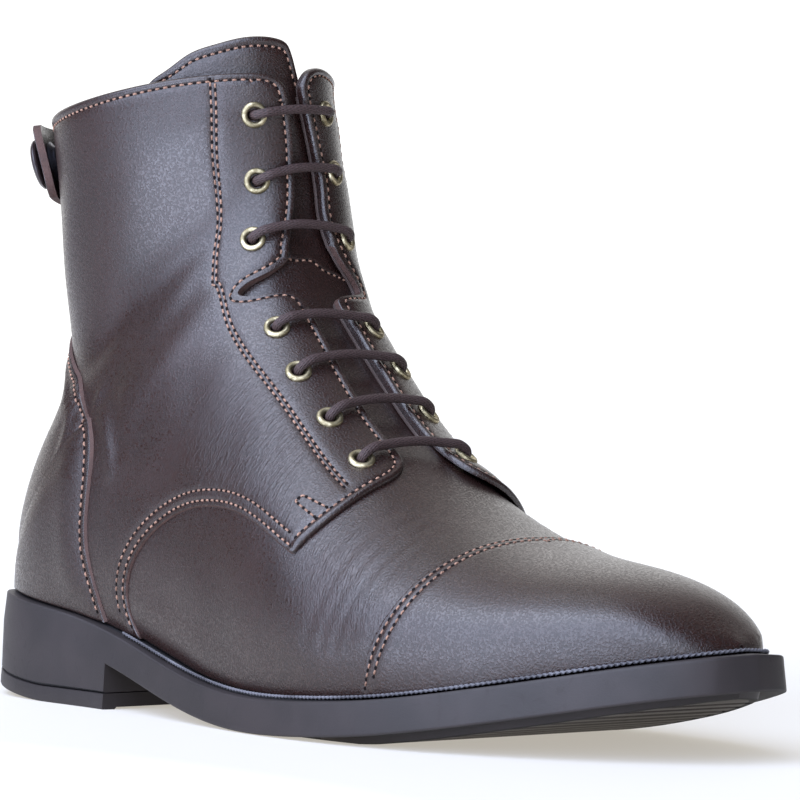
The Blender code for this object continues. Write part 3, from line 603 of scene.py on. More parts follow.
def set_attribute(made: bpy.types.Object, name: str, values: np.ndarray) -> None:
    """Give a piece one number for each point."""
    layer = made.data.attributes.new(name, "FLOAT", "POINT")
    layer.data.foreach_set("value", np.asarray(values, np.float32))


def math_method(operation: str) -> Callable[..., "Shade"]:
    """A method of Shade that puts a Math node on its value and others.

    Args:
        operation: the node's operation.
    Returns:
        The method.
    """
    def method(self: "Shade", *others: "Shade | float") -> "Shade":
        """The node's result."""
        return self.math(operation, self, *others)

    return method


class Shade:
    """A shader value that takes Python arithmetic."""

    def __init__(self, graph: "Graph", link: bpy.types.NodeSocket) -> None:
        """Wrap an output socket of a graph."""
        self.graph = graph
        self.link = link

    def math(self, operation: str, *values: "Shade | float") -> "Shade":
        """A Math node on this value and others."""
        return self.graph.node("ShaderNodeMath", {"operation": operation}, dict(enumerate(values)))

    __add__ = math_method("ADD")
    __mul__ = math_method("MULTIPLY")
    __sub__ = math_method("SUBTRACT")
    sine = math_method("SINE")
    absolute = math_method("ABSOLUTE")
    least = math_method("MINIMUM")
    most = math_method("MAXIMUM")

    def __rsub__(self, other: float) -> "Shade":
        """Difference from a number."""
        return self.math("SUBTRACT", other, self)

    def spread(self, low: float, high: float) -> "Shade":
        """Smoothly from 0 at a low value to 1 at a high one."""
        return self.graph.node("ShaderNodeMapRange", {"interpolation_type": "SMOOTHSTEP"},
                               {"Value": self, "From Min": low, "From Max": high})


class Graph:
    """The nodes of one finish, or of the surroundings."""

    def __init__(self, name: str, surroundings: bool = False) -> None:
        """Start a material, or a world, with its shader.

        Args:
            name: its name.
            surroundings: whether it is a world.
        """
        self.owner = (bpy.data.worlds if surroundings else bpy.data.materials).new(name)
        self.owner.use_nodes = True
        self.tree = self.owner.node_tree
        self.shader = self.tree.nodes["Background" if surroundings else "Principled BSDF"]

    def node(self, kind: str, settings: dict | None = None, inputs: dict | None = None,
             output: int | str = 0) -> Shade:
        """Add a node.

        Args:
            kind: the node's type.
            settings: its own settings, set first.
            inputs: values or links by socket name or number.
            output: the socket that is wanted.
        Returns:
            That output as a value.
        """
        made = self.tree.nodes.new(kind)
        for key, value in (settings or {}).items():
            setattr(made, key, value)
        for key, value in (inputs or {}).items():
            if isinstance(value, Shade):
                self.tree.links.new(value.link, made.inputs[key])
            else:
                made.inputs[key].default_value = value
        return Shade(self, made.outputs[output])

    def place(self) -> Shade:
        """Object coordinates, in metres."""
        return self.node("ShaderNodeTexCoord", output="Object")

    def uv(self, name: str) -> Shade:
        """A UV map of the piece."""
        return self.node("ShaderNodeUVMap", {"uv_map": name})

    def uv_parts(self, name: str) -> tuple[Shade, Shade]:
        """The two numbers of a UV map."""
        parts = self.node("ShaderNodeSeparateXYZ", None, {0: self.uv(name)}).link.node
        return Shade(self, parts.outputs["X"]), Shade(self, parts.outputs["Y"])

    def measure(self, operation: str, *vectors: Shade | tuple[float, float, float]) -> Shade:
        """A length, a distance or a dot product of vectors."""
        return self.node("ShaderNodeVectorMath", {"operation": operation}, dict(enumerate(vectors)), "Value")

    def attribute(self, name: str) -> Shade:
        """A number that the piece's points carry."""
        return self.node("ShaderNodeAttribute", {"attribute_name": name}, output="Fac")

    def noise(self, at: Shade, size_mm: float, detail: float = 2.0, distortion: float = 0.0) -> Shade:
        """Smooth noise of a grain size, from 0 to 1."""
        inputs = {"Vector": at, "Scale": 1000 / size_mm, "Detail": detail, "Distortion": distortion}
        return self.node("ShaderNodeTexNoise", None, inputs, "Fac")

    def blend(self, share: Shade | float, first: Shade | Colour, second: Shade | Colour) -> Shade:
        """A colour between two."""
        ends = [value if isinstance(value, Shade) else (*value, 1.0) for value in (first, second)]
        return self.node("ShaderNodeMix", {"data_type": "RGBA"}, {0: share, 6: ends[0], 7: ends[1]}, 2)

    def bump(self, height: Shade, depth_mm: float) -> Shade:
        """A normal from a height that spans a depth."""
        inputs = {"Height": height, "Strength": 1.0, "Distance": depth_mm * MM}
        return self.node("ShaderNodeBump", None, inputs)

    def done(self, **sockets: Shade | float | tuple) -> bpy.types.Material | bpy.types.World:
        """Set the shader's sockets.

        Args:
            sockets: values or links, by names with underscores for spaces.
        Returns:
            The material or world.
        """
        for key, value in sockets.items():
            socket = self.shader.inputs[key.replace("_", " ")]
            if isinstance(value, Shade):
                self.tree.links.new(value.link, socket)
            else:
                socket.default_value = value
        return self.owner


@dataclass(frozen=True)
class LeatherFinish:
    """Smooth dyed leather with fine grain, and flex wrinkles where the piece carries them."""

    name: str
    colour: Colour = (0.0230, 0.0090, 0.0072)
    deep: Colour = (0.0080, 0.0032, 0.0026)
    roughness: float = 0.29
    cell_mm: float = 0.60
    wrinkle_mm: tuple[float, float] = (1.35, 6.0)
    grain_mm: float = 0.075
    furrow_mm: float = 0.15
    coat: float = 0.30
    coat_roughness: float = 0.27
    fine_mm: float = 0.55
    cloud_mm: float = 26.0

    def make(self) -> bpy.types.Material:
        """Lay out the nodes.

        Returns:
            The material.
        """
        g = Graph(self.name)
        at = g.place()
        pebble = g.noise(at, self.cell_mm, 2.0, 0.3).spread(0.38, 0.60)
        fine = g.noise(at, self.fine_mm, 2.0)
        cloud = g.noise(at, self.cloud_mm, 3.0, 0.4)
        along, around = self.wrinkle_mm
        stretched = g.node("ShaderNodeVectorMath", {"operation": "MULTIPLY"},
                           {0: g.uv("pattern"), 1: (1 / along, 1 / around, 1.0)})
        furrow = ((g.noise(stretched, 1.0, 2.0, 0.7) - 0.5).absolute() * 5.0).least(1.0)
        wrinkle = g.attribute("wrinkle")
        height = (pebble * 0.55 + fine * 0.45) * (self.grain_mm / self.furrow_mm) + furrow * wrinkle
        tone = cloud.spread(0.3, 0.75) * 0.25 + pebble * 0.40 + fine.spread(0.35, 0.65) * 0.35
        rough = cloud * 0.08 - pebble * 0.14 + (self.roughness + 0.07) + wrinkle * 0.04
        return g.done(Base_Color=g.blend(tone, self.deep, self.colour), Roughness=rough,
                      Normal=g.bump(height, self.furrow_mm),
                      Coat_Weight=pebble * (0.6 * self.coat) + 0.5 * self.coat,
                      Coat_Roughness=self.coat_roughness, Specular_IOR_Level=0.5)


@dataclass(frozen=True)
class RawEdgeFinish:
    """The fibrous cut edge of the leather."""

    name: str
    colour: Colour = (0.070, 0.028, 0.019)
    deep: Colour = (0.018, 0.008, 0.006)
    fibre_mm: float = 0.7
    streak_mm: float = 3.5
    depth_mm: float = 0.22

    def make(self) -> bpy.types.Material:
        """Lay out the nodes.

        Returns:
            The material.
        """
        g = Graph(self.name)
        at = g.place()
        fibre = g.noise(at, self.fibre_mm, 4.0, 0.8)
        streak = g.noise(at, self.streak_mm, 2.0)
        tone = (fibre * 0.7 + streak * 0.5 - 0.1).least(1.0).most(0.0)
        return g.done(Base_Color=g.blend(tone, self.deep, self.colour), Roughness=0.78,
                      Normal=g.bump(fibre, self.depth_mm))


@dataclass(frozen=True)
class RubberFinish:
    """Moulded rubber with a faint even texture."""

    name: str
    colour: Colour = (0.028, 0.022, 0.022)
    deep: Colour = (0.021, 0.017, 0.017)
    roughness: float = 0.52
    texture_mm: float = 0.45
    depth_mm: float = 0.03
    cloud_mm: float = 18.0
    scuff_mm: float = 5.0

    def make(self) -> bpy.types.Material:
        """Lay out the nodes.

        Returns:
            The material.
        """
        g = Graph(self.name)
        at = g.place()
        speck = g.noise(at, self.texture_mm, 3.0)
        cloud = g.noise(at, self.cloud_mm, 3.0)
        scuff = g.noise(at, self.scuff_mm, 5.0, 1.2).spread(0.56, 0.72)
        tone = cloud.spread(0.35, 0.7)
        return g.done(Base_Color=g.blend(tone, self.deep, self.colour),
                      Roughness=speck * 0.12 + scuff * 0.08 + (self.roughness - 0.08),
                      Normal=g.bump(speck + scuff * 0.4, self.depth_mm), Specular_IOR_Level=0.28)


@dataclass(frozen=True)
class MetalFinish:
    """Plated metal with a worn patina."""

    name: str
    colour: Colour
    patina: Colour
    roughness: float = 0.28
    patch_mm: float = 2.4
    speck_mm: float = 0.35
    depth_mm: float = 0.02

    def make(self) -> bpy.types.Material:
        """Lay out the nodes.

        Returns:
            The material.
        """
        g = Graph(self.name)
        at = g.place()
        worn = g.noise(at, self.patch_mm, 4.0, 0.6).spread(0.38, 0.66)
        speck = g.noise(at, self.speck_mm, 3.0)
        return g.done(Base_Color=g.blend(worn, self.patina, self.colour), Metallic=1.0,
                      Roughness=(1 - worn) * 0.16 + speck * 0.06 + self.roughness,
                      Normal=g.bump(speck, self.depth_mm))


@dataclass(frozen=True)
class PaintFinish:
    """A painted metal stud."""

    name: str
    colour: Colour = (0.030, 0.020, 0.020)
    cloud_mm: float = 3.0
    speck_mm: float = 0.3
    depth_mm: float = 0.015

    def make(self) -> bpy.types.Material:
        """Lay out the nodes.

        Returns:
            The material.
        """
        g = Graph(self.name)
        at = g.place()
        cloud = g.noise(at, self.cloud_mm, 3.0)
        speck = g.noise(at, self.speck_mm, 2.0)
        return g.done(Base_Color=g.blend(cloud, tuple(0.7 * c for c in self.colour), self.colour),
                      Roughness=cloud * 0.1 + 0.26, Normal=g.bump(speck, self.depth_mm), Coat_Weight=0.3,
                      Coat_Roughness=0.2)


@dataclass(frozen=True)
class CordFinish:
    """Woven sleeve of an elastic cord, on a map of turns around and metres along."""

    name: str
    colour: Colour = (0.054, 0.030, 0.028)
    deep: Colour = (0.013, 0.008, 0.008)
    strands: int = 6
    pitch_mm: float = 2.1
    fuzz_mm: float = 0.25
    depth_mm: float = 0.20

    def make(self) -> bpy.types.Material:
        """Lay out the nodes.

        Returns:
            The material.
        """
        g = Graph(self.name)
        turn, length = g.uv_parts("along")
        around = turn * (2 * math.pi * self.strands)
        along = length * (2 * math.pi * 1000 / self.pitch_mm)
        left = (around + along).sine()
        right = (around - along).sine()
        strand = left.most(right) * 0.5 + 0.5
        fuzz = g.noise(g.place(), self.fuzz_mm, 3.0)
        tone = (strand * 0.8 + fuzz * 0.4 - 0.1).least(1.0).most(0.0)
        return g.done(Base_Color=g.blend(tone, self.deep, self.colour), Roughness=0.55,
                      Normal=g.bump(strand + fuzz * 0.35, self.depth_mm), Specular_IOR_Level=0.35)


@dataclass(frozen=True)
class ThreadFinish:
    """Twisted sewing thread, with painted shade where each stitch dips into its hole."""

    name: str
    colour: Colour = (0.32, 0.185, 0.132)
    deep: Colour = (0.006, 0.004, 0.004)
    faded: float = 0.62
    twist_mm: float = 0.7
    cloud_mm: float = 6.0
    depth_mm: float = 0.08

    def make(self) -> bpy.types.Material:
        """Lay out the nodes.

        Returns:
            The material.
        """
        g = Graph(self.name)
        # The dip attribute is painted shade: dark stitch ends and needle-hole discs.
        dip = g.attribute("dip")
        turn, length = g.uv_parts("along")
        twist = (turn * (4 * math.pi) + length * (2 * math.pi * 1000 / self.twist_mm)).sine() * 0.5 + 0.5
        cloud = g.noise(g.place(), self.cloud_mm, 2.0)
        lit = g.blend(cloud.spread(0.3, 0.7), tuple(self.faded * c for c in self.colour), self.colour)
        return g.done(Base_Color=g.blend(dip, lit, self.deep), Roughness=0.7,
                      Normal=g.bump(twist, self.depth_mm), Specular_IOR_Level=0.06)


@dataclass(frozen=True)
class LiningFinish:
    """Soft lining leather or board cover inside the boot."""

    name: str
    colour: Colour = (0.060, 0.036, 0.030)
    deep: Colour = (0.036, 0.022, 0.018)
    nap_mm: float = 0.6
    cloud_mm: float = 14.0
    depth_mm: float = 0.08

    def make(self) -> bpy.types.Material:
        """Lay out the nodes.

        Returns:
            The material.
        """
        g = Graph(self.name)
        at = g.place()
        nap = g.noise(at, self.nap_mm, 4.0)
        cloud = g.noise(at, self.cloud_mm, 3.0)
        return g.done(Base_Color=g.blend(cloud, self.deep, self.colour), Roughness=nap * 0.15 + 0.62,
                      Normal=g.bump(nap, self.depth_mm))


@dataclass(frozen=True)
class FloorFinish:
    """White studio floor that glows with painted light: most in a painted pool of light before the boot,
    least beside it.

    The side is a direction along the floor, and the reaches are in metres.
    """

    name: str
    colour: Colour = (0.32, 0.32, 0.32)
    near_glow: Colour = (0.46, 0.43, 0.38)
    far_glow: Colour = (0.70, 0.67, 0.62)
    far_reach: tuple[float, float] = (0.22, 0.9)
    side_glow: Colour = (0.05, 0.045, 0.04)
    side: tuple[float, float, float] = (-0.22, -1.12, 0.0)
    side_reach: tuple[float, float] = (0.24, 0.40)
    pool: Colour = (5.4, 6.2, 8.0)
    pool_place: tuple[float, float, float] = (0.08, -0.52, 0.0)
    pool_reach: tuple[float, float] = (0.26, 0.42)
    cloud_mm: float = 400.0

    def make(self) -> bpy.types.Material:
        """Lay out the nodes.

        Returns:
            The material.
        """
        g = Graph(self.name)
        at = g.place()
        glow = g.blend(g.measure("LENGTH", at).spread(*self.far_reach), self.near_glow, self.far_glow)
        beside = g.measure("DOT_PRODUCT", at, self.side).spread(*self.side_reach)
        outside = g.measure("DISTANCE", at, self.pool_place).spread(*self.pool_reach)
        # The emitted glow is painted light, brightest in the pool before the boot and dimmest beside it.
        glow = g.blend(outside, self.pool, g.blend(beside, glow, self.side_glow))
        dull = tuple(0.99 * c for c in self.colour)
        return g.done(Base_Color=g.blend(g.noise(at, self.cloud_mm, 2.0), dull, self.colour), Roughness=0.8,
                      Specular_IOR_Level=0.1, Emission_Color=glow, Emission_Strength=1.0)


class Finishes:
    """The finishes of the boot, one material for each."""

    def __init__(self) -> None:
        """Make every material once."""
        self.leather = LeatherFinish("leather").make()
        self.vamp = LeatherFinish("vamp_leather").make()
        self.edge = RawEdgeFinish("raw_edge").make()
        self.lining = LiningFinish("lining").make()
        self.insole = LiningFinish("insole_cover", (0.075, 0.052, 0.043), (0.05, 0.034, 0.028)).make()
        self.sole = RubberFinish("sole_rubber").make()
        self.lift = RubberFinish("lift_rubber", (0.026, 0.021, 0.021), (0.020, 0.016, 0.016)).make()
        # Darker rubber for the sole's downward faces: painted shade under the sole.
        self.tread = RubberFinish("underside_rubber_painted_shade", (0.014, 0.013, 0.014), (0.010, 0.009, 0.010), 0.75).make()
        self.welt = RubberFinish("welt_rubber", (0.13, 0.124, 0.136), (0.05, 0.047, 0.053), 0.34,
                                 texture_mm=0.3, depth_mm=0.01).make()
        self.brass = MetalFinish("antique_brass", (0.50, 0.43, 0.28), (0.20, 0.165, 0.095), 0.34).make()
        self.steel = MetalFinish("stud_socket", (0.20, 0.20, 0.23), (0.10, 0.10, 0.12), 0.25).make()
        self.stud = PaintFinish("stud_cap").make()
        self.cord = CordFinish("elastic_cord").make()
        self.thread = ThreadFinish("thread").make()


@dataclass(frozen=True)
class Fold:
    """A soft trough or ridge along a pattern line."""

    marks: tuple[Mark, ...]
    depth: float
    width: float


@dataclass(frozen=True)
class Flex:
    """A patch of fine flex wrinkles."""

    spot: Mark
    reach: float
    strength: float


def flexes(rows: Sequence[tuple[float, float, float, float]], sign: int) -> list[Flex]:
    """Wrinkled patches on one half, from rows of station, girth, reach and strength."""
    return [Flex(Mark(station, sign * girth), reach, strength) for station, girth, reach, strength in rows]


class Edge(Enum):
    """How a panel's edge is finished; the value is the radius of its shoulder."""

    RAW = 0.25
    FOLDED = 0.95
    HIDDEN = 0.40


@dataclass
class Panel:
    """A leather panel cut to a flat outline and drawn over the last."""

    last: Last
    name: str
    edges: Sequence[tuple[np.ndarray, Edge]]
    outer: Height
    inner: Height
    pitch: float = 1.7
    skive: float = 0.35
    swell: float = 0.30
    seams: Sequence[np.ndarray] = ()
    folds: Sequence[Fold] = ()
    flexes: Sequence[Flex] = ()
    holes: Sequence[np.ndarray] = ()
    hole_radius: float = 2.4
    groove: float = 0.30
    groove_width: float = 0.60
    sway: float = 0.10
    sway_mm: tuple[float, float, float, float] = (9.3, 11.7, 5.1, 7.9)
    sway_start: tuple[float, float, float] = (0.8, 1.9, 0.4)
    pared: float = 0.0
    pared_width: float = 2.4
    roll: tuple[float, float] = (1.25, 0.85)
    weld: float = 0.25
    lip: float = 0.45
    edge_rings: tuple[float, ...] = (0.12, 0.3, 0.6, 1.0, 1.9)
    seam_rings: tuple[float, ...] = (-1.1, -0.5, 0.0, 0.5, 1.1)
    hole_rings: tuple[float, ...] = (0.0, 0.5, 1.3)
    hole_sides: int = 20

    def __post_init__(self) -> None:
        """Join the edges into one closed outline."""
        points: list[np.ndarray] = []
        kinds: list[Edge] = []
        for line, kind in self.edges:
            for point in line:
                if not points or np.linalg.norm(point - points[-1]) > self.weld:
                    points.append(point)
                    kinds.append(kind)
        if np.linalg.norm(points[0] - points[-1]) < self.weld:
            points.pop()
            kinds.pop()
        self.loop = np.array(points)
        self.kinds = kinds
        after = np.roll(self.loop, -1, 0)
        self.turn = 1 if (self.loop[:, 0] * after[:, 1] - after[:, 0] * self.loop[:, 1]).sum() > 0 else -1

    def edge_distance(self, flat: np.ndarray, kind: Edge) -> np.ndarray:
        """Distance from flat points to the panel's edges of one kind.

        Args:
            flat: flat points.
            kind: which edges.
        Returns:
            One distance for each point.
        """
        away = np.full(len(flat), 1e3)
        for line, its_kind in self.edges:
            if its_kind is kind:
                away = np.minimum(away, line_distance(flat, line))
        return away

    def edge_fall(self, flat: np.ndarray) -> np.ndarray:
        """How far the face drops over the rounded shoulders of its edges.

        Args:
            flat: flat points.
        Returns:
            One drop for each point.
        """
        fall = np.zeros(len(flat))
        for kind in Edge:
            share = np.minimum(self.edge_distance(flat, kind) / kind.value, 1)
            fall = np.maximum(fall, kind.value * (1 - np.sqrt(1 - (1 - share) ** 2)))
        return fall

    def row_inside(self, line: np.ndarray, distance: float, pitch: float = 1.0) -> np.ndarray:
        """A row along part of the outline, inside the panel.

        Args:
            line: part of the outline.
            distance: how far inside.
            pitch: spacing of the points.
        Returns:
            The row's flat points, where no other edge is nearer.
        """
        for turn in (1, -1):
            row = resampled(shifted(line, turn * distance), pitch)
            kept = inside(row, self.loop)
            if kept.mean() > 0.5:
                break
        row = row[kept & (line_distance(row, self.loop, True) > 0.97 * distance)]
        for _ in range(4):
            step = np.diff(row, axis=0)
            back = (step[1:] * step[:-1]).sum(1) < 0
            row = row[~np.concatenate(([False], back, [False]))]
        return row

    def heights(self, flat: np.ndarray) -> np.ndarray:
        """Height of the panel's face above the form at flat points.

        Args:
            flat: flat points.
        Returns:
            One height for each point.
        """
        marks = self.last.marks(flat)
        height = self.outer(marks) if callable(self.outer) else np.full(len(flat), self.outer)
        for fold in self.folds:
            away = line_distance(flat, self.last.line(fold.marks, pitch=3.0))
            height = height + fold.depth * np.exp(-(away / fold.width) ** 2)
        for seam in self.seams:
            height = height - self.groove * np.exp(-(line_distance(flat, seam) / self.groove_width) ** 2)
        if self.pared:
            away = self.edge_distance(flat, Edge.RAW)
            height = height - self.pared * np.exp(-(away / self.pared_width) ** 2)
        place, width = self.roll
        away = self.edge_distance(flat, Edge.FOLDED)
        height = height + self.swell * np.exp(-((away - place) / width) ** 2)
        s, y = flat.T
        long_s, long_y, short_s, short_y = self.sway_mm
        first, second, third = self.sway_start
        wave = np.sin(s / long_s + first) * np.sin(y / long_y + second)
        return height + self.sway * (wave + 0.6 * np.sin(s / short_s - y / short_y + third))

    def cut(self) -> tuple[np.ndarray, np.ndarray, list[list[int]]]:
        """Cut the flat panel into small triangles along its edges and seams.

        Returns:
            Flat points, triangles, and for each point the outline points that it stands for.
        """
        keep = []
        for depth in self.edge_rings:
            ring = shifted(self.loop, self.turn * depth, True)
            keep.append(ring[inside(ring, self.loop) & (line_distance(ring, self.loop, True) > 0.8 * depth)])
        rows = []
        for seam in self.seams:
            for aside in self.seam_rings:
                row = shifted(seam, aside * self.groove_width)
                rows.append(row[inside(row, self.loop) & (line_distance(row, self.loop, True) > 0.5)])
        for centre in self.holes:
            turns = np.arange(self.hole_sides) * 2 * math.pi / self.hole_sides
            for wider in self.hole_rings:
                rows.append(centre + (self.hole_radius + wider) * np.stack((np.cos(turns), np.sin(turns)), 1))
        low = self.loop.min(0)
        high = self.loop.max(0)
        along, around = np.meshgrid(np.arange(low[0], high[0], self.pitch * 0.866),
                                    np.arange(low[1], high[1], self.pitch))
        around = around + (np.arange(around.shape[1]) % 2) * self.pitch / 2
        lattice = np.stack((along.ravel(), around.ravel()), 1)
        lattice = lattice[inside(lattice, self.loop)]
        gap = 0.4 * self.pitch
        lattice = lattice[line_distance(lattice, self.loop, True) > self.edge_rings[-1] + 0.45 * self.pitch]
        for seam in self.seams:
            lattice = lattice[line_distance(lattice, seam) > self.seam_rings[-1] * self.groove_width + gap]
        rim = self.hole_radius + self.hole_rings[-1]
        for centre in self.holes:
            lattice = lattice[np.linalg.norm(lattice - centre, axis=1) > rim + gap]
        points = np.concatenate([self.loop, *keep, *[row for row in rows if len(row)], lattice])
        count = len(self.loop)
        border = [(i, (i + 1) % count) for i in range(count)]
        result = delaunay_2d_cdt([Vector(p) for p in points], border, [], 1, 1e-4)
        flat = np.array([tuple(v) for v in result[0]])
        faces = np.array([f for f in result[2]])
        for centre in self.holes:
            middle = flat[faces].mean(1)
            faces = faces[np.linalg.norm(middle - centre, axis=1) > self.hole_radius]
        return flat, faces, result[3]

    def build(self, face: bpy.types.Material, edge: bpy.types.Material) -> bpy.types.Object:
        """Draw the cut panel over the last, with its thickness and rolled edge.

        Args:
            face: the leather.
            edge: the raw cut edge.
        Returns:
            The piece.
        """
        flat, faces, sources = self.cut()
        marks = self.last.marks(flat)
        fall = self.edge_fall(flat)
        for centre in self.holes:
            share = (np.linalg.norm(flat - centre, axis=1) - self.hole_radius) / self.hole_rings[-1]
            fall = np.maximum(fall, self.lip * (1 - share.clip(0, 1)) ** 2)
        outer = self.last.lasted(marks, self.heights(flat) - fall)
        rim = [next((i for i in source if i < len(self.loop)), -1) for source in sources]
        is_raw = np.array([i >= 0 and self.kinds[i] is Edge.RAW for i in rim])
        below = flat.copy()
        below[is_raw] = shifted(self.loop, -self.turn * self.skive, True)[np.array(rim)[is_raw]]
        below = self.last.marks(below)
        inner = self.last.lasted(below, self.inner(below) if callable(self.inner) else self.inner)
        count = len(flat)
        pairs = np.sort(np.concatenate((faces[:, (0, 1)], faces[:, (1, 2)], faces[:, (2, 0)])), axis=1)
        heads = np.concatenate((faces[:, 0], faces[:, 1], faces[:, 2]))
        tails = np.concatenate((faces[:, 1], faces[:, 2], faces[:, 0]))
        _, where, times = np.unique(pairs[:, 0] * count + pairs[:, 1], return_index=True, return_counts=True)
        once = where[times == 1]
        walls = np.stack((heads[once], tails[once], tails[once] + count, heads[once] + count), 1)
        solid = [*faces[:, ::-1].tolist(), *(faces + count).tolist(), *walls.tolist()]
        made = new_piece(self.name, np.concatenate((outer, inner)), solid, sharp_deg=50.0)
        slots = np.zeros(len(solid), np.int32)
        slots[2 * len(faces):] = is_raw[walls[:, 0]] & is_raw[walls[:, 1]]
        made.data.materials.append(face)
        made.data.materials.append(edge)
        made.data.polygons.foreach_set("material_index", slots)
        set_uv(made, "pattern", np.tile(flat * MM, (2, 1)))
        wrinkle = np.zeros(count)
        for flex in self.flexes:
            spot = self.last.flat([flex.spot])[0]
            wrinkle += flex.strength * np.exp(-(((flat - spot) / flex.reach) ** 2).sum(1))
        set_attribute(made, "wrinkle", np.tile(wrinkle.clip(0, 1), 2))
        return made


@dataclass
class StitchRows:
    """Rows of sewing stitches on a panel, joined in one mesh."""

    last: Last
    name: str
    pitch: float = 2.45
    length: float = 1.80
    radius: float = 0.29
    lift: float = 0.14
    dip: float = 0.40
    needle: float = 0.56
    needle_lift: float = 0.13
    needle_squash: float = 0.8
    needle_sides: int = 8
    rings: int = 6
    sides: int = 6
    points: list[np.ndarray] = field(default_factory=list)
    faces: list[np.ndarray] = field(default_factory=list)
    maps: list[np.ndarray] = field(default_factory=list)
    painted_end_shades: list[np.ndarray] = field(default_factory=list)
    painted_hole_discs: list[np.ndarray] = field(default_factory=list)

    def sew(self, row: np.ndarray, height: Callable[[np.ndarray], np.ndarray]) -> None:
        """Add the stitches of one row.

        Args:
            row: flat points along it, at least one stitch long.
            height: the face of the panel at flat points.
        """
        if len(row) < 3:
            return
        path = self.last.lasted(self.last.marks(row), 0.0)
        run = run_along(path)
        count = int(run[-1] / self.pitch)
        if count < 1:
            return
        share = np.linspace(0, 1, self.rings)
        starts = (np.arange(count) + 0.5 * (run[-1] / self.pitch - count)) * self.pitch
        at = starts[:, None] + 0.5 * (self.pitch - self.length) + share * self.length
        flat = np.stack([np.interp(at.ravel(), run, column) for column in row.T], 1)
        marks = self.last.marks(flat)
        arch = np.tile(np.sin(math.pi * share) ** 0.5, count)
        rise = height(flat) + self.lift * arch - self.dip * (1 - arch)
        centre = self.last.lasted(marks, rise).reshape(count, self.rings, 3)
        out = self.last.normals(marks[:, 0], marks[:, 1]).reshape(count, self.rings, 3)
        ahead = np.gradient(centre, axis=1)
        across = unit(np.cross(out, ahead))
        turns = np.arange(self.sides) * 2 * math.pi / self.sides
        wide = (self.radius * (0.75 + 0.25 * np.sin(math.pi * share)))[None, :, None, None]
        ring = (np.cos(turns)[:, None] * across[:, :, None] + np.sin(turns)[:, None] * out[:, :, None]) * wide
        first = sum(len(p) for p in self.points) + np.arange(count) * self.rings * self.sides
        quads = np.array(ring_faces(self.rings, self.sides))
        self.points.append((centre[:, :, None] + ring).reshape(-1, 3))
        self.faces.append((quads[None] + first[:, None, None]).reshape(-1, 4))
        spin = np.tile(np.arange(self.sides) / self.sides, count * self.rings)
        self.maps.append(np.stack((spin, np.repeat(at.ravel(), self.sides) * MM), 1))
        # Stitch ends darken as painted shade where the thread goes into its hole.
        dark = (np.abs(share - 0.5) * 2) ** 4
        self.painted_end_shades.append(np.tile(np.repeat(dark, self.sides), count))
        # Dark discs of painted shade go where the needle holes are.
        holes = [*starts, starts[-1] + self.pitch]
        self.paint_hole_discs(np.stack([np.interp(holes, run, column) for column in row.T], 1), height)

    def paint_hole_discs(self, spots: np.ndarray, height: Callable[[np.ndarray], np.ndarray]) -> None:
        """Add small dark discs of painted shade where the needle holes between the stitches of a row are.

        Args:
            spots: flat points.
            height: the face of the panel at flat points.
        """
        marks = self.last.marks(spots)
        centre = self.last.lasted(marks, height(spots) + self.needle_lift)
        out = self.last.normals(marks[:, 0], marks[:, 1])
        ahead = np.gradient(centre, axis=0)
        ahead = unit(ahead - out * (ahead * out).sum(1)[:, None])
        aside = self.needle_squash * np.cross(out, ahead)
        turns = np.arange(self.needle_sides) * 2 * math.pi / self.needle_sides
        disc = np.cos(turns)[:, None] * ahead[:, None] + np.sin(turns)[:, None] * aside[:, None]
        self.painted_hole_discs.append((centre[:, None] + self.needle * disc).reshape(-1, 3))

    def build(self, thread: bpy.types.Material) -> bpy.types.Object:
        """All rows as one piece.

        Args:
            thread: its material.
        Returns:
            The piece.
        """
        points = np.concatenate(self.points)
        faces = np.concatenate(self.faces)
        ends: list[list[int]] = []
        for first in range(0, len(points), self.rings * self.sides):
            ends.append([first + k for k in reversed(range(self.sides))])
            ends.append([first + (self.rings - 1) * self.sides + k for k in range(self.sides)])
        # The dark discs are painted shade standing for the needle holes.
        holes = np.concatenate(self.painted_hole_discs)
        discs = (len(points) + np.arange(len(holes)).reshape(-1, self.needle_sides)).tolist()
        made = new_piece(self.name, np.concatenate((points, holes)),
                         [*faces[:, ::-1].tolist(), *[e[::-1] for e in ends], *discs], sharp_deg=60.0)
        made.data.materials.append(thread)
        set_uv(made, "along", np.concatenate((*self.maps, np.zeros((len(holes), 2)))))
        # Painted shade: the stitch ends darken, and the hole discs are fully dark.
        set_attribute(made, "dip", np.concatenate((*self.painted_end_shades, np.ones(len(holes)))))
        return made


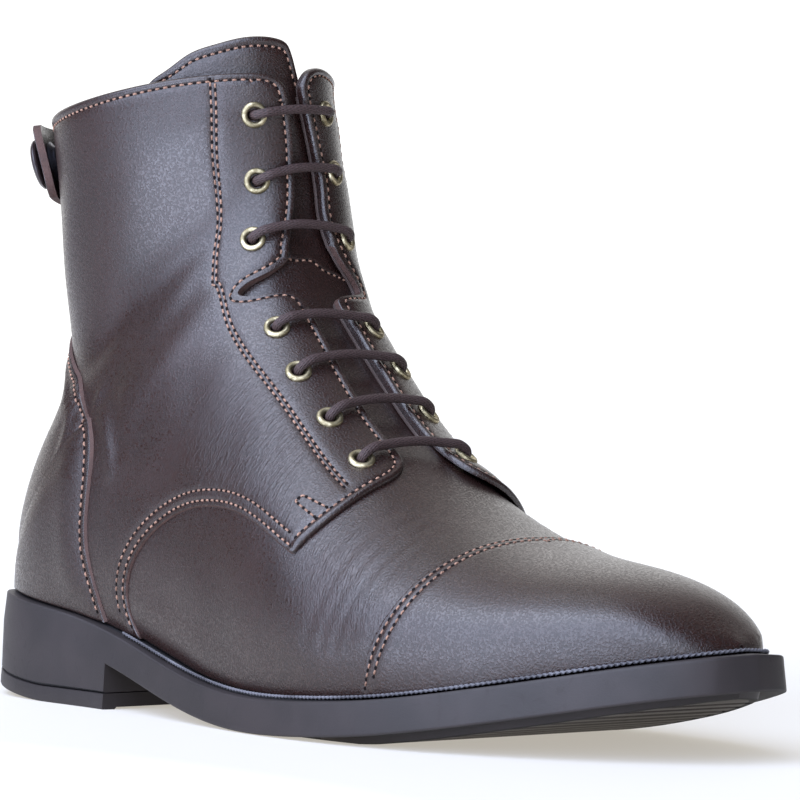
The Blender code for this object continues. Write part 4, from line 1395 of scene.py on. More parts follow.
@dataclass
class Uppers:
    """Vamp, toe cap, quarters, counter, tongue and lining, with their seams."""

    last: Last
    looks: Finishes
    overlay_out: float = 0.0
    vamp_out: float = -1.4
    vamp_in: float = -2.2
    lining_out: float = -2.3
    lining_in: float = -3.2
    cap_in: float = -1.3
    quarter_gap: float = 0.1
    quarter_step: float = 0.8
    quarter_slope: float = 5.0
    counter_out: float = 1.6
    counter_in: float = 0.05
    tongue_out: float = -4.2
    tongue_in: float = -6.0
    tongue_top: float = 340.0
    lap_out: float = 0.85
    lap_in: float = -0.3
    lap_row: float = 1.8
    front_rows: tuple[float, float] = (1.3, 4.0)
    facing_row: float = 2.6
    cap_rows: tuple[float, float] = (1.4, 3.5)
    counter_row: float = 1.0
    tongue_row: float = 2.6
    eyestay_gap: float = 1.35
    eyelet_radius: float = 2.5
    corner: Mark = Mark(124.0, 0.20)
    corner_reach: tuple[float, float] = (10.0, 0.14)
    corner_lift: float = 1.8
    crease_width: float = 1.5
    creases: tuple[tuple[float, float], ...] = ((0.0, -0.30), (5.0, -0.22), (-4.5, -0.16), (11.0, -0.16))
    back_slit: float = 0.004

    def build(self) -> list[bpy.types.Object]:
        """All leather pieces of the upper.

        Returns:
            The pieces.
        """
        made = [self.build_lining(), *self.build_vamp(), *self.build_cap()]
        for side in Side:
            made += self.build_quarter(side)
        return [*made, *self.build_counter(), *self.build_tongue()]

    def vamp_loop(self) -> np.ndarray:
        """Flat outline of the vamp.

        Returns:
            Flat points.
        """
        back = self.last.line(VAMP_BACK, 1)
        foot = self.last.line(pattern((214.0, 1.0), (70.0, 1.0)), sharp=True)
        return np.concatenate((foot[::-1] * (1, -1), back * (1, -1), back[::-1], foot))

    def build_vamp(self) -> list[bpy.types.Object]:
        """The vamp between the toe cap and the quarters.

        Returns:
            The piece, in a list.
        """
        patches: list[Flex] = []
        folds: list[Fold] = []
        for side in Side:
            crease = mirrored(VAMP_CREASE, side.value)
            for shift, depth in self.creases:
                marks = tuple(Mark(mark.station + shift, mark.girth) for mark in crease)
                folds.append(Fold(marks, depth, self.crease_width))
            folds.append(Fold(mirrored(VAMP_SWELL, side.value), depth=0.5, width=6.0))
            patches += flexes(VAMP_FLEXES, side.value)
        panel = Panel(self.last, "vamp", [(self.vamp_loop(), Edge.HIDDEN)], self.vamp_out, self.vamp_in,
                      folds=folds, flexes=patches, pitch=1.6)
        made = panel.build(self.looks.vamp, self.looks.edge)
        return [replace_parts(made, "upper")]

    def lining_half(self, side: Side) -> np.ndarray:
        """Half of the lining's outline: throat, collar, back seam and lasting edge.

        Args:
            side: lateral or medial.
        Returns:
            Flat points.
        """
        def line(marks: Sequence[Mark], sharp: bool = False) -> np.ndarray:
            """A line on this half."""
            return self.last.line(marks, side.value, sharp=sharp)

        foot = line(pattern((128.0, 0.0), (128.5, 0.045), (134.0, 0.082)))
        collar = [Mark(mark.station - 0.7, mark.girth) for mark in COLLAR_LINE[side]]
        corner = [Mark(mark.station - 0.5, mark.girth + 0.006) for mark in CORNER[side]]
        back = line([Mark(station, 0.9995) for station in (collar[-1].station, self.last.closed, 1.0)], True)
        return np.concatenate((foot, line(THROAT[side]), line(NOTCH[side]), line(FACING[side]), line(corner),
                               line(collar), back))

    def eyelet_holes(self, side: Side) -> np.ndarray:
        """Flat centres of one side's eyelet holes."""
        return self.last.flat(mirrored(EYELETS[side], side.value))

    def sew(self, panel: Panel, name: str, rows: Sequence[np.ndarray],
            radius: float = 0.29) -> bpy.types.Object:
        """Stitch rows on a panel.

        Args:
            panel: the panel that is sewn.
            name: name of the stitches.
            rows: flat points of each row.
            radius: half the thread's thickness.
        Returns:
            The stitches, as one piece.
        """
        stitches = StitchRows(self.last, name, radius=radius)
        for row in rows:
            stitches.sew(row, panel.heights)
        return stitches.build(self.looks.thread)

    def build_lining(self) -> bpy.types.Object:
        """The wall that the foot meets.

        Returns:
            The piece.
        """
        loop = np.concatenate((self.lining_half(Side.MEDIAL), self.lining_half(Side.LATERAL)[::-1]))
        holes = [*self.eyelet_holes(Side.LATERAL), *self.eyelet_holes(Side.MEDIAL)]
        panel = Panel(self.last, "lining", [(resampled(loop, 2.0), Edge.HIDDEN)], self.lining_out,
                      self.lining_in, pitch=4.0, holes=holes, hole_radius=self.eyelet_radius, sway=0.0)
        made = panel.build(self.looks.lining, self.looks.lining)
        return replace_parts(made, "upper")

    def build_cap(self) -> list[bpy.types.Object]:
        """The toe cap with its two rows.

        Returns:
            The cap and its stitches.
        """
        edge = np.concatenate((self.last.line(CAP_EDGE, -1), self.last.line(CAP_EDGE, 1)[::-1]))
        rim = pattern((99.0, 1.0), (0.5, 1.0), (0.5, -1.0), (99.0, -1.0))
        sides = [(self.last.line(ends, sharp=True), Edge.HIDDEN) for ends in zip(rim, rim[1:])]
        panel = Panel(self.last, "toe_cap", [(edge, Edge.RAW), *sides],
                      self.overlay_out, self.cap_in, pitch=1.6, sway=0.05, skive=0.3, groove=0.2, pared=0.5)
        panel.seams = [panel.row_inside(edge, distance) for distance in self.cap_rows]
        panel.folds = [Fold(CAP_SWELL, depth=0.25, width=3.2)]
        made = panel.build(self.looks.leather, self.looks.edge)
        stitches = self.sew(panel, "toe_cap_stitches", panel.seams, radius=0.25)
        return [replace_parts(made, "toe_cap"), stitches]

    def build_quarter(self, side: Side) -> list[bpy.types.Object]:
        """One quarter with its facing, notch, eyelet holes and seams.

        Args:
            side: lateral or medial.
        Returns:
            The panel and its stitches.
        """
        sign = side.value
        word = side.name.lower()

        def line(marks: Sequence[Mark], sharp: bool = False) -> np.ndarray:
            """A line of this quarter."""
            return self.last.line(marks, sign, sharp=sharp)

        front = line(QUARTER_FRONT)
        step = line(QUARTER_STEP[side])
        throat, notch, facing, corner = (line(part[side]) for part in (THROAT, NOTCH, FACING, CORNER))
        top = line(COLLAR_LINE[side])
        seam = line((COLLAR_LINE[side][-1], QUARTER_BACK[0]), True)
        foot = line((QUARTER_BACK[-1], QUARTER_FRONT[0]), True)
        vamp = self.vamp_loop()

        def under(marks: np.ndarray) -> np.ndarray:
            """The quarter's inner face, thinner where it lies on the vamp.

            Args:
                marks: rows of station and girth.
            Returns:
                One height for each row.
            """
            flat = self.last.flat(marks)
            away = np.where(inside(flat, vamp), 0.0, line_distance(flat, vamp, True))
            drop = self.quarter_step * (away / self.quarter_slope).clip(0, 1)
            return self.vamp_out + self.quarter_gap - drop + self.facing_lift(marks)

        edges = [(front, Edge.RAW), (step, Edge.FOLDED), (throat, Edge.FOLDED), (notch, Edge.RAW),
                 (facing, Edge.FOLDED), (corner, Edge.FOLDED), (top, Edge.FOLDED), (seam, Edge.HIDDEN),
                 (line(QUARTER_BACK), Edge.HIDDEN), (foot, Edge.HIDDEN)]
        folds = [Fold(mirrored(marks, sign), depth, width) for marks, depth, width in QUARTER_FOLDS]
        panel = Panel(self.last, f"quarter_{word}", edges,
                      lambda marks: self.overlay_out + self.facing_lift(marks), under,
                      holes=self.eyelet_holes(side), hole_radius=self.eyelet_radius, folds=folds,
                      flexes=flexes(QUARTER_FLEXES, sign), pared=0.5)
        border = np.concatenate((step, throat, notch, facing, corner, top))
        rows = [panel.row_inside(front, distance) for distance in self.front_rows]
        rows.append(panel.row_inside(border, self.facing_row))
        eyestay = line(EYESTAY)
        rows += [shifted(eyestay, 0.5 * self.eyestay_gap), shifted(eyestay, -0.5 * self.eyestay_gap)]
        panel.seams = [row for row in rows if len(row) > 3]
        made = panel.build(self.looks.leather, self.looks.edge)
        stitches = self.sew(panel, f"quarter_{word}_stitches", [*panel.seams, line(STITCH_BOX, True)])
        return [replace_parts(made, f"quarter_{word}"), stitches]

    def facing_lift(self, marks: np.ndarray) -> np.ndarray:
        """Height that the medial facing stands off at its lower corner."""
        away = (((marks - np.array(self.corner)) / self.corner_reach) ** 2).sum(1)
        return np.where(marks[:, 1] > 0, self.corner_lift * np.exp(-away), 0.0)

    def build_counter(self) -> list[bpy.types.Object]:
        """The heel counter with its raw front edge.

        Returns:
            The counter and its stitches.
        """
        edge = self.last.faired(self.last.line(COUNTER_EDGE, 1, pitch=0.8, true=True))
        reach = np.interp(edge[:, 0], *self.last.reach_at)
        other = np.stack((edge[:, 0], 2 * reach - edge[:, 1]), 1)
        foot, seat, slit = COUNTER_EDGE[0].station, self.last.closed + 0.8, self.back_slit
        low = self.last.line(pattern((foot, 1 + slit), (seat, 1 + slit)), sharp=True)
        back = self.last.line(pattern((seat, 1 - slit), (foot, 1 - slit)), sharp=True)
        front = np.concatenate((edge, other[::-1]))
        folds = []
        for sign in (1, -1):
            ridge = tuple(Mark(mark.station, 1 + sign * (mark.girth - 1)) for mark in COUNTER_RIDGE)
            folds.append(Fold(ridge, depth=0.50, width=2.4))
        panel = Panel(self.last, "heel_counter",
                      [(front, Edge.RAW), (low, Edge.HIDDEN), (back, Edge.HIDDEN)], self.counter_out,
                      self.counter_in, pitch=1.4, folds=folds, sway=0.06, pared=0.55)
        panel.seams = [panel.row_inside(front, self.counter_row)]
        made = panel.build(self.looks.leather, self.looks.edge)
        stitches = self.sew(panel, "heel_counter_stitches", panel.seams, radius=0.32)
        return [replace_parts(made, "heel_counter"), stitches]

    def build_tongue(self) -> list[bpy.types.Object]:
        """The tongue and the shorter piece that is sewn over its lower end.

        Returns:
            Tongue, lap and their stitches.
        """
        line = self.last.line
        edge = line(TONGUE_EDGE)
        foot = line((TONGUE_EDGE[-1], TONGUE_EDGE[0]), sharp=True)
        panel = Panel(self.last, "tongue", [(edge, Edge.FOLDED), (foot, Edge.HIDDEN)], self.tongue_out,
                      self.tongue_in, pitch=2.0, folds=[Fold(TONGUE_TROUGH, depth=-0.4, width=4.0)])
        panel.seams = [panel.row_inside(edge[edge[:, 0] > self.tongue_top], self.tongue_row)]
        made = panel.build(self.looks.leather, self.looks.edge)
        stitches = StitchRows(self.last, "tongue_stitches")
        stitches.sew(panel.seams[0], panel.heights)
        top = line(LAP_TOP)
        sides = [(line(marks), Edge.HIDDEN) for marks in (LAP_MEDIAL, LAP_LATERAL)]
        lap = Panel(self.last, "tongue_lap", [(top, Edge.RAW), *sides], self.tongue_out + self.lap_out,
                    self.tongue_out + self.lap_in, pitch=1.8, skive=0.4,
                    folds=[Fold(LAP_RIDGE, depth=0.45, width=5.0)])
        lap.seams = [lap.row_inside(top, self.lap_row)]
        piece = lap.build(self.looks.leather, self.looks.edge)
        stitches.sew(lap.seams[0], lap.heights)
        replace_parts(piece, "tongue")
        return [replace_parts(made, "tongue"), piece, stitches.build(self.looks.thread)]


@dataclass
class SoleUnit:
    """Moulded sole with its heel block, the top lift, the welt bead and the insole."""

    last: Last
    looks: Finishes
    count: int = 260
    seat: float = 0.4
    wall: float = 9.0
    flare: float = 0.8
    margin_at: tuple[float, ...] = (-85.0, -30.0, 60.0)
    margin: tuple[float, ...] = (3.6, 4.0, 5.0)
    top_roll: tuple[tuple[float, float], ...] = ((-3.0, 0.0), (-0.9, 0.0), (-0.35, 0.10), (-0.08, 0.38),
                                                 (0.02, 0.9))
    foot_roll: tuple[tuple[float, float], ...] = ((0.02, -0.45), (-0.12, -0.15), (-0.45, 0.0))
    wall_parts: tuple[float, ...] = (0.35, 0.7, 1.0)
    wall_foot: float = 0.8
    tread_inset: float = 6.0
    tread_step: float = 0.8
    tread_at: tuple[float, ...] = (-30.0, 15.0, 60.0)
    tread_depth: tuple[float, ...] = (0.4, 0.7, 2.3)
    under_normal: float = -0.6
    breast_x: float = -64.0
    heel_flare: float = 1.2
    heel_parts: tuple[float, ...] = (0.25, 0.5, 0.75, 0.96)
    heel_lip: tuple[float, ...] = (-0.45, -2.45)
    lift_thickness: float = 4.4
    lift_gap: float = 0.3
    lift_flat_x: float = -97.0
    lift_back_x: float = -146.0
    lift_back_rise: float = 5.0
    lift_top: tuple[tuple[float, float], ...] = ((-2.4, 0.0), (-0.7, 0.0), (-0.32, -0.14), (-0.25, -0.5))
    lift_foot: tuple[tuple[float, float], ...] = ((0.0, 0.5), (-0.12, 0.16), (-0.45, 0.0), (-4.0, 0.0),
                                                  (-4.6, 0.6), (-6.6, 0.6))
    rib_pitch: float = 7.5
    rib_gap: float = 2.4
    rib_depth: float = 0.9
    rib_inset: float = 1.5
    rib_start: float = 12.0
    bead_radius: float = 0.54
    bead_girth: float = 0.976
    bead_pitch: float = 1.5
    bead_gap: float = 0.45
    bead_rise: float = 0.3
    bead_stop: float = 4.0
    sharp_deg: float = 34.0

    def __post_init__(self) -> None:
        """Lay out the lasting edge as a ring: toe tip, lateral side, heel, medial side."""
        share = np.linspace(0, 1, self.count + 1)
        station = self.last.closed * ((0.5 - 0.5 * np.cos(math.pi * share)) * 0.85 + share * 0.15)
        lateral = self.last.lasted(np.stack((station, np.full(len(share), -1.0)), 1), 0.0)
        medial = self.last.lasted(np.stack((station, np.full(len(share), 1.0)), 1), 0.0)
        ring = np.concatenate((lateral, medial[-2:0:-1]))
        ring[0, 1] = (ring[1, 1] + ring[-1, 1]) / 2
        ring[self.count, 1] = (ring[self.count - 1, 1] + ring[self.count + 1, 1]) / 2
        self.stations = np.concatenate((station, station[-2:0:-1]))
        self.ring = ring
        spread = 6
        flow = np.roll(ring, -spread, 0) - np.roll(ring, spread, 0)
        flow[:, 2] = 0
        flow = unit(flow)
        self.outward = np.stack((flow[:, 1], -flow[:, 0], 0 * flow[:, 0]), 1)
        if self.outward[0, 0] < 0:
            self.outward = -self.outward
        width = np.interp(ring[:, 0], self.margin_at, self.margin)
        self.edge = ring + self.outward * width[:, None]
        self.breast = int(np.argmin(np.abs(self.edge[:self.count + 1, 0] - self.breast_x)))
        for k in (self.breast, 2 * self.count - self.breast):
            self.edge[k, 0] = self.breast_x

    def lift_floor(self, x: np.ndarray) -> np.ndarray:
        """Underside of the heel: flat behind the breast, then rising a little to the back."""
        back = np.clip((self.lift_flat_x - np.asarray(x)) / (self.lift_flat_x - self.lift_back_x), 0, 1.1)
        return self.lift_back_rise * back ** 1.4

    def layer(self, out: float | np.ndarray, drop: float | np.ndarray) -> np.ndarray:
        """The edge moved outward and down from the top of the sole.

        Args:
            out: how far outward.
            drop: how far down.
        Returns:
            The moved ring.
        """
        moved = self.edge + self.outward * np.reshape(out, (-1, 1))
        moved[:, 2] -= self.seat + drop
        return moved

    def across(self, ring: np.ndarray, first: int, last: int, flip: bool) -> list[list[int]]:
        """Faces between the lateral and the medial run of a ring, from one column to another.

        Args:
            ring: point numbers.
            first: first column.
            last: column to stop before.
            flip: whether the faces look down.
        Returns:
            Loops of point numbers.
        """
        total = 2 * self.count
        faces = []
        for i in range(first, last):
            loop = [ring[i], ring[i + 1], ring[(total - i - 1) % total], ring[(total - i) % total]]
            loop = [int(v) for k, v in enumerate(loop) if v != loop[k - 1]]
            faces.append(loop[::-1] if flip else loop)
        return faces

    @staticmethod
    def strips(rows: Sequence[np.ndarray], columns: Sequence[int]) -> list[list[int]]:
        """Faces between rings of point numbers that follow each other, over some columns.

        Args:
            rows: the rings, from the top down.
            columns: numbers of the columns.
        Returns:
            Loops of point numbers.
        """
        faces = []
        for upper, lower in zip(rows, rows[1:]):
            for k in columns:
                j = (k + 1) % len(upper)
                faces.append([int(upper[k]), int(upper[j]), int(lower[j]), int(lower[k])])
        return faces

    def build(self) -> list[bpy.types.Object]:
        """The pieces under the foot.

        Returns:
            The pieces.
        """
        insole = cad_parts["insole"]
        insole.data.materials.clear()
        insole.data.materials.append(self.looks.insole)
        return [self.build_outsole(), self.build_lift(), self.build_bead(), insole]

    def build_outsole(self) -> bpy.types.Object:
        """The sole: rolled wall, tread step and ribs in front, heel block behind.

        Returns:
            The piece.
        """
        total = 2 * self.count
        wall = self.wall
        drop = self.top_roll[-1][1]
        sides = [(self.flare * t, drop + (wall - drop - self.wall_foot) * t) for t in self.wall_parts]
        shared = [self.layer(*row) for row in (*self.top_roll, *sides)]
        fore = [self.layer(self.flare + out, wall + rise) for out, rise in self.foot_roll]
        fore.append(self.layer(0.4 - self.tread_inset, wall))
        tread = self.layer(-self.tread_inset - self.tread_step, wall)
        depth = np.interp(tread[:, 0], self.tread_at, self.tread_depth)
        tread[:, 2] = np.maximum(0.0, tread[:, 2] - depth)
        brink = self.layer(-self.tread_inset - 0.15, wall)
        brink[:, 2] = tread[:, 2] + 0.35
        groove = tread - self.outward * self.rib_inset
        ribbed = np.mod(groove[:, 0], self.rib_pitch) < self.rib_gap
        ribbed &= groove[:, 0] > self.breast_x + self.rib_start
        groove[:, 2] += np.where(ribbed, self.rib_depth, 0.0)
        fore += [brink, tread, groove]
        heel_low = self.edge + self.outward * self.heel_flare
        heel_low[:, 2] = self.lift_floor(heel_low[:, 0]) + self.lift_thickness + self.lift_gap
        start = shared[-1]
        heel = [start + (heel_low - start) * t for t in self.heel_parts]
        heel += [heel_low + self.outward * out for out in self.heel_lip]
        layers = [*shared, *fore, *heel]
        points = np.concatenate(layers)
        rows = [np.arange(total) + total * i for i in range(len(layers))]
        r_shared = rows[:len(shared)]
        r_fore = [r_shared[-1], *rows[len(shared):len(shared) + len(fore)]]
        r_heel = [r_shared[-1], *rows[len(shared) + len(fore):]]
        faces = self.across(rows[0], 0, self.count, False)
        front = [*range(self.breast), *range(total - self.breast, total)]
        behind = range(self.breast, total - self.breast)
        for part, columns in ((r_shared, range(total)), (r_fore, front), (r_heel, behind)):
            faces += self.strips(part, columns)
        faces += self.across(r_fore[-1], 0, self.breast, True)
        faces += self.across(r_heel[-1], self.breast, self.count, True)
        a, b = self.breast, total - self.breast
        loop = [*[row[a] for row in r_heel], *[row[b] for row in r_heel[::-1]],
                *[row[b] for row in r_fore[1:]], *[row[a] for row in r_fore[:0:-1]]]
        faces.append([int(v) for v in loop])
        made = new_piece("sole_unit", points, self.outward_faces(points, faces), self.sharp_deg)
        made.data.materials.append(self.looks.sole)
        # Faces that look down take the darker rubber, as painted shade on the underside.
        made.data.materials.append(self.looks.tread)
        for face in made.data.polygons:
            face.material_index = int(face.normal.z < self.under_normal)
        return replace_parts(made, "outsole")

    @staticmethod
    def outward_faces(points: np.ndarray, faces: list[list[int]]) -> list[list[int]]:
        """The same faces, turned over together if they enclose a negative volume.

        Args:
            points: places.
            faces: loops of point numbers.
        Returns:
            The loops.
        """
        volume = 0.0
        for face in faces:
            corner = points[face]
            for i in range(1, len(face) - 1):
                volume += float(np.dot(corner[0], np.cross(corner[i], corner[i + 1])))
        return faces if volume > 0 else [face[::-1] for face in faces]

    def build_lift(self) -> bpy.types.Object:
        """The top lift under the heel block.

        Returns:
            The piece.
        """
        total = 2 * self.count
        floor = self.edge + self.outward * (self.heel_flare + 0.3)
        floor[:, 2] = self.lift_floor(floor[:, 0])
        top = floor + (0, 0, self.lift_thickness)
        rows = [level + self.outward * out + (0, 0, rise)
                for level, roll in ((top, self.lift_top), (floor, self.lift_foot)) for out, rise in roll]
        points = np.concatenate(rows)
        numbers = [np.arange(total) + total * i for i in range(len(rows))]
        faces = self.across(numbers[0], self.breast, self.count, False)
        faces += self.strips(numbers, range(self.breast, total - self.breast))
        faces += self.across(numbers[-1], self.breast, self.count, True)
        a, b = self.breast, total - self.breast
        faces.append([*[int(row[a]) for row in numbers], *[int(row[b]) for row in numbers[::-1]]])
        used = sorted({v for face in faces for v in face})
        new_number = {v: i for i, v in enumerate(used)}
        faces = [[new_number[v] for v in face] for face in faces]
        made = new_piece("top_lift", points[used], self.outward_faces(points[used], faces), self.sharp_deg)
        made.data.materials.append(self.looks.lift)
        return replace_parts(made, "heel_top_lift")

    def build_bead(self) -> bpy.types.Object:
        """The roped bead round the lasting edge from breast to breast.

        Returns:
            The piece.
        """
        girth = np.where(np.arange(2 * self.count) <= self.count, -self.bead_girth, self.bead_girth)
        lean = ((self.last.surface(self.stations, girth) - self.ring) * self.outward).sum(1).clip(0)
        lean[[0, self.count]] = 0
        path = self.ring + self.outward * (self.bead_radius + self.bead_gap + lean)[:, None]
        path[:, 2] += self.bead_radius - self.seat + self.bead_rise
        wanted = [k for k in range(2 * self.count) if path[k, 0] > self.breast_x + self.bead_stop]
        start = next(i for i, k in enumerate(wanted) if k > self.count)
        path = resampled(path[wanted[start:] + wanted[:start]], self.bead_pitch / 6)
        tube = Tube(path, self.bead_radius, sides=10, lobes=2, lobe=0.30, lobe_pitch=2 * self.bead_pitch)
        made = tube.build("welt_bead", self.looks.welt)
        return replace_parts(made, "welt")


@dataclass
class Tube:
    """A round cord or bead along a path, with closed ends and a map of turns and metres."""

    path: np.ndarray
    radius: float
    sides: int = 14
    lobes: int = 0
    lobe: float = 0.0
    lobe_pitch: float = 1.0

    def build(self, name: str, finish: bpy.types.Material) -> bpy.types.Object:
        """Sweep the tube.

        Args:
            name: the piece's name.
            finish: its material.
        Returns:
            The piece.
        """
        path = np.asarray(self.path, float)
        flow = unit(np.gradient(path, axis=0))
        run = run_along(path)
        turns = np.arange(self.sides) * 2 * math.pi / self.sides
        lead = np.cross(flow[0], (0.13, 0.2, 1.0))
        points = []
        for place, ahead, along in zip(path, flow, run):
            lead = unit(lead - ahead * (lead @ ahead))
            twist = 2 * math.pi * self.lobes * along / self.lobe_pitch
            reach = self.radius * (1 - self.lobe + self.lobe * np.cos(self.lobes * turns + twist))
            points.append(place + np.outer(reach * np.cos(turns), lead)
                          + np.outer(reach * np.sin(turns), np.cross(ahead, lead)))
        count = len(path)
        sides = self.sides
        faces = ring_faces(count, sides)
        faces += [list(range(sides))[::-1], [(count - 1) * sides + k for k in range(sides)]]
        made = new_piece(name, np.concatenate(points), faces, sharp_deg=60.0)
        made.data.materials.append(finish)
        share = np.abs(np.arange(sides) * 2 / sides - 1)
        set_uv(made, "along", np.stack((np.tile(share, count), np.repeat(run, sides) * MM), 1))
        return made


@dataclass
class Fittings:
    """Eyelets, elastic bars, and the back strap with its press stud."""

    last: Last
    looks: Finishes
    facing_lift: Callable[[np.ndarray], np.ndarray]
    eyelet_radius: float = 2.76
    eyelet_tube: float = 0.84
    eyelet_sink: float = 2.2
    eyelet_rise: float = 0.12
    eyelet_squash: float = 0.95
    eyelet_lift: float = 0.05
    lace_radius: float = 1.28
    lace_sides: int = 16
    lace_parts: int = 90
    lace_arch: float = 0.8
    lace_height: float = 2.1
    lace_low: float = -2.4
    lace_bend_at: tuple[float, ...] = (0.0, 0.10, 0.25, 0.5, 1.0)
    lace_bend: tuple[float, ...] = (0.5, 2.2, 2.6)
    strap_stations: tuple[float, float] = (345.0, 362.0)
    strap_girths: tuple[float, float] = (0.70, 1.215)
    strap_seat: float = 0.5
    strap_lift: float = 2.4
    strap_thickness: float = 2.4
    strap_free: tuple[float, float] = (0.97, 0.14)
    strap_tilt: tuple[float, float] = (0.25, 1.3)
    tack_inset: float = 3.0
    tack_girths: tuple[float, float] = (0.02, 0.10)
    snap_radius: float = 7.3
    snap_height: float = 2.4
    socket_radius: float = 5.0

    def build(self) -> list[bpy.types.Object]:
        """All fittings."""
        return [*self.build_eyelets(), *self.build_laces(), *self.build_strap()]

    def placed(self, name: str, place: Matrix, finish: bpy.types.Material) -> bpy.types.Object:
        """Take the active object as a finished piece, moved to its place in its mesh.

        Args:
            name: the piece's name.
            place: its axes.
            finish: its material.
        Returns:
            The piece, riding on the boot's body.
        """
        made = bpy.context.object
        made.name = name
        made.data.name = name
        made.data.transform(place @ made.matrix_basis)
        made.matrix_basis = Matrix.Identity(4)
        made.data.materials.clear()
        made.data.materials.append(finish)
        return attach(made, BODY)

    def turned(self, profile: Sequence[tuple[float, float]], steps: int = 40) -> None:
        """Spin a profile of radius and height into the active object, round Z.

        Args:
            profile: radius and height, in millimetres, from the axis or inner side out.
            steps: parts of the full turn.
        """
        bpy.ops.object.select_all(action="DESELECT")
        mesh = bpy.data.meshes.new("profile")
        line = [(r * MM, 0.0, h * MM) for r, h in profile]
        mesh.from_pydata(line, [(i, i + 1) for i in range(len(line) - 1)], [])
        made = bpy.data.objects.new("profile", mesh)
        bpy.context.scene.collection.objects.link(made)
        made.select_set(True)
        bpy.context.view_layer.objects.active = made
        bpy.ops.object.mode_set(mode="EDIT")
        bpy.ops.mesh.select_all(action="SELECT")
        bpy.ops.mesh.spin(steps=steps, angle=2 * math.pi, center=(0, 0, 0), axis=(0, 0, 1))
        bpy.ops.mesh.select_all(action="SELECT")
        bpy.ops.mesh.remove_doubles(threshold=1e-6)
        bpy.ops.mesh.normals_make_consistent(inside=False)
        bpy.ops.object.mode_set(mode="OBJECT")
        bpy.ops.object.shade_smooth_by_angle(angle=math.radians(35))

    def build_eyelets(self) -> list[bpy.types.Object]:
        """Rolled metal eyelets with their barrels, one in each hole.

        Returns:
            The eyelets.
        """
        tube = self.eyelet_tube
        mid = self.eyelet_radius
        curl = [(mid + tube * math.sin(a), self.eyelet_rise + tube * self.eyelet_squash * math.cos(a))
                for a in np.linspace(-0.42 * math.pi, 0.5 * math.pi, 9)]
        barrel = [(mid - tube - 0.02, -self.eyelet_sink), (mid - tube, -0.6)]
        foot = [(mid + tube, -0.1), (mid - tube + 0.25, -0.25), (mid - tube + 0.25, -self.eyelet_sink)]
        made = []
        for side in Side:
            for number, spot in enumerate(mirrored(EYELETS[side], side.value), 1):
                self.turned([*barrel, *curl, *foot, barrel[0]])
                lift = self.eyelet_lift + float(self.facing_lift(np.array([spot]))[0])
                place = self.last.frame_at(spot, lift)
                node = f"eyelet_{side.name.lower()}_{number}"
                piece = self.placed(f"rolled_{node}", place, self.looks.brass)
                made.append(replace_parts(piece, node))
        return made

    def build_laces(self) -> list[bpy.types.Object]:
        """Elastic bars that rise out of one eyelet, arch over the tongue and dip into the other.

        Returns:
            The bars.
        """
        made = []
        share = np.concatenate((np.full(4, -1.0), np.linspace(-1, 1, 25)[1:-1], np.full(4, 1.0)))
        climb = np.concatenate((np.linspace(0, 1, 4), np.ones(23), np.linspace(1, 0, 4)))
        for number, (near, far) in enumerate(zip(EYELETS[Side.LATERAL], EYELETS[Side.MEDIAL]), 1):
            reach = 1 - np.abs(share)
            rise = np.interp(reach, self.lace_bend_at, (*self.lace_bend, self.lace_height, self.lace_height))
            height = self.lace_low + (rise - self.lace_low) * climb
            over = (1 + share) / 2
            station = near.station + (far.station - near.station) * over + self.lace_arch * (1 - share ** 2)
            marks = np.stack((station, -near.girth + (far.girth + near.girth) * over), 1)
            end = self.facing_lift(np.array([far]))[0] * over ** 3
            path = self.last.lasted(marks, height + end)
            knots = run_along(path)
            path = Spline(knots, path)(np.linspace(0, knots[-1], self.lace_parts))
            tube = Tube(path, self.lace_radius, self.lace_sides)
            piece = tube.build(f"elastic_bar_{number}", self.looks.cord)
            made.append(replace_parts(piece, f"lace_bar_{number}"))
        return made

    def strap_rise(self, marks: np.ndarray) -> np.ndarray:
        """Height of the strap's inner face, lifting off towards its free end and its upper edge.

        Args:
            marks: rows of station and girth.
        Returns:
            One height for each row.
        """
        first, reach = self.strap_free
        off = gentle(np.clip((marks[:, 1] - first) / reach, 0, 1))
        low, high = self.strap_stations
        least, more = self.strap_tilt
        tilt = least + more * (marks[:, 0] - low) / (high - low)
        return self.strap_seat + self.strap_lift * off * tilt

    def build_strap(self) -> list[bpy.types.Object]:
        """The strap across the back, its stitches, and the press stud at the lateral end.

        Returns:
            Strap, stitches, cap and socket.
        """
        low, high = self.strap_stations
        start, end = self.strap_girths
        line = self.last.line
        tip = end - 0.03
        outline = [line(pattern((low, start), (low, tip)), sharp=True),
                   line(pattern((low, tip), (low + 2.0, end - 0.008), (low + 6.0, end), (high - 6.0, end),
                                (high - 2.0, end - 0.008), (high, tip))),
                   line(pattern((high, tip), (high, start)), sharp=True),
                   line(pattern((high, start), (low, start)), sharp=True)]
        panel = Panel(self.last, "strap", [(part, Edge.RAW) for part in outline],
                      lambda marks: self.strap_rise(marks) + self.strap_thickness, self.strap_rise, pitch=1.4,
                      skive=0.0, sway=0.0)
        near, far = (start + girth for girth in self.tack_girths)
        foot, head = low + self.tack_inset, high - self.tack_inset
        tack = line(pattern((foot, far), (foot, near), (head, near), (head, far), (foot, far)), sharp=True)
        panel.seams = [tack]
        strap = panel.build(self.looks.leather, self.looks.edge)
        stitches = StitchRows(self.last, "strap_stitches")
        stitches.sew(tack, panel.heights)
        made = [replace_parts(strap, "back_strap"), stitches.build(self.looks.thread)]
        place = self.stud_place()
        top = self.strap_thickness
        crown = top + self.snap_height
        wide = self.snap_radius
        cap = [(0.0, crown), (wide - 2.2, crown - 0.12), (wide - 0.9, crown - 0.45),
               (wide - 0.15, top + 1.35), (wide, top + 0.9), (wide - 0.5, top + 0.45),
               (wide - 2.0, top + 0.3), (self.socket_radius - 1.5, top + 0.05), (0.0, top + 0.05)]
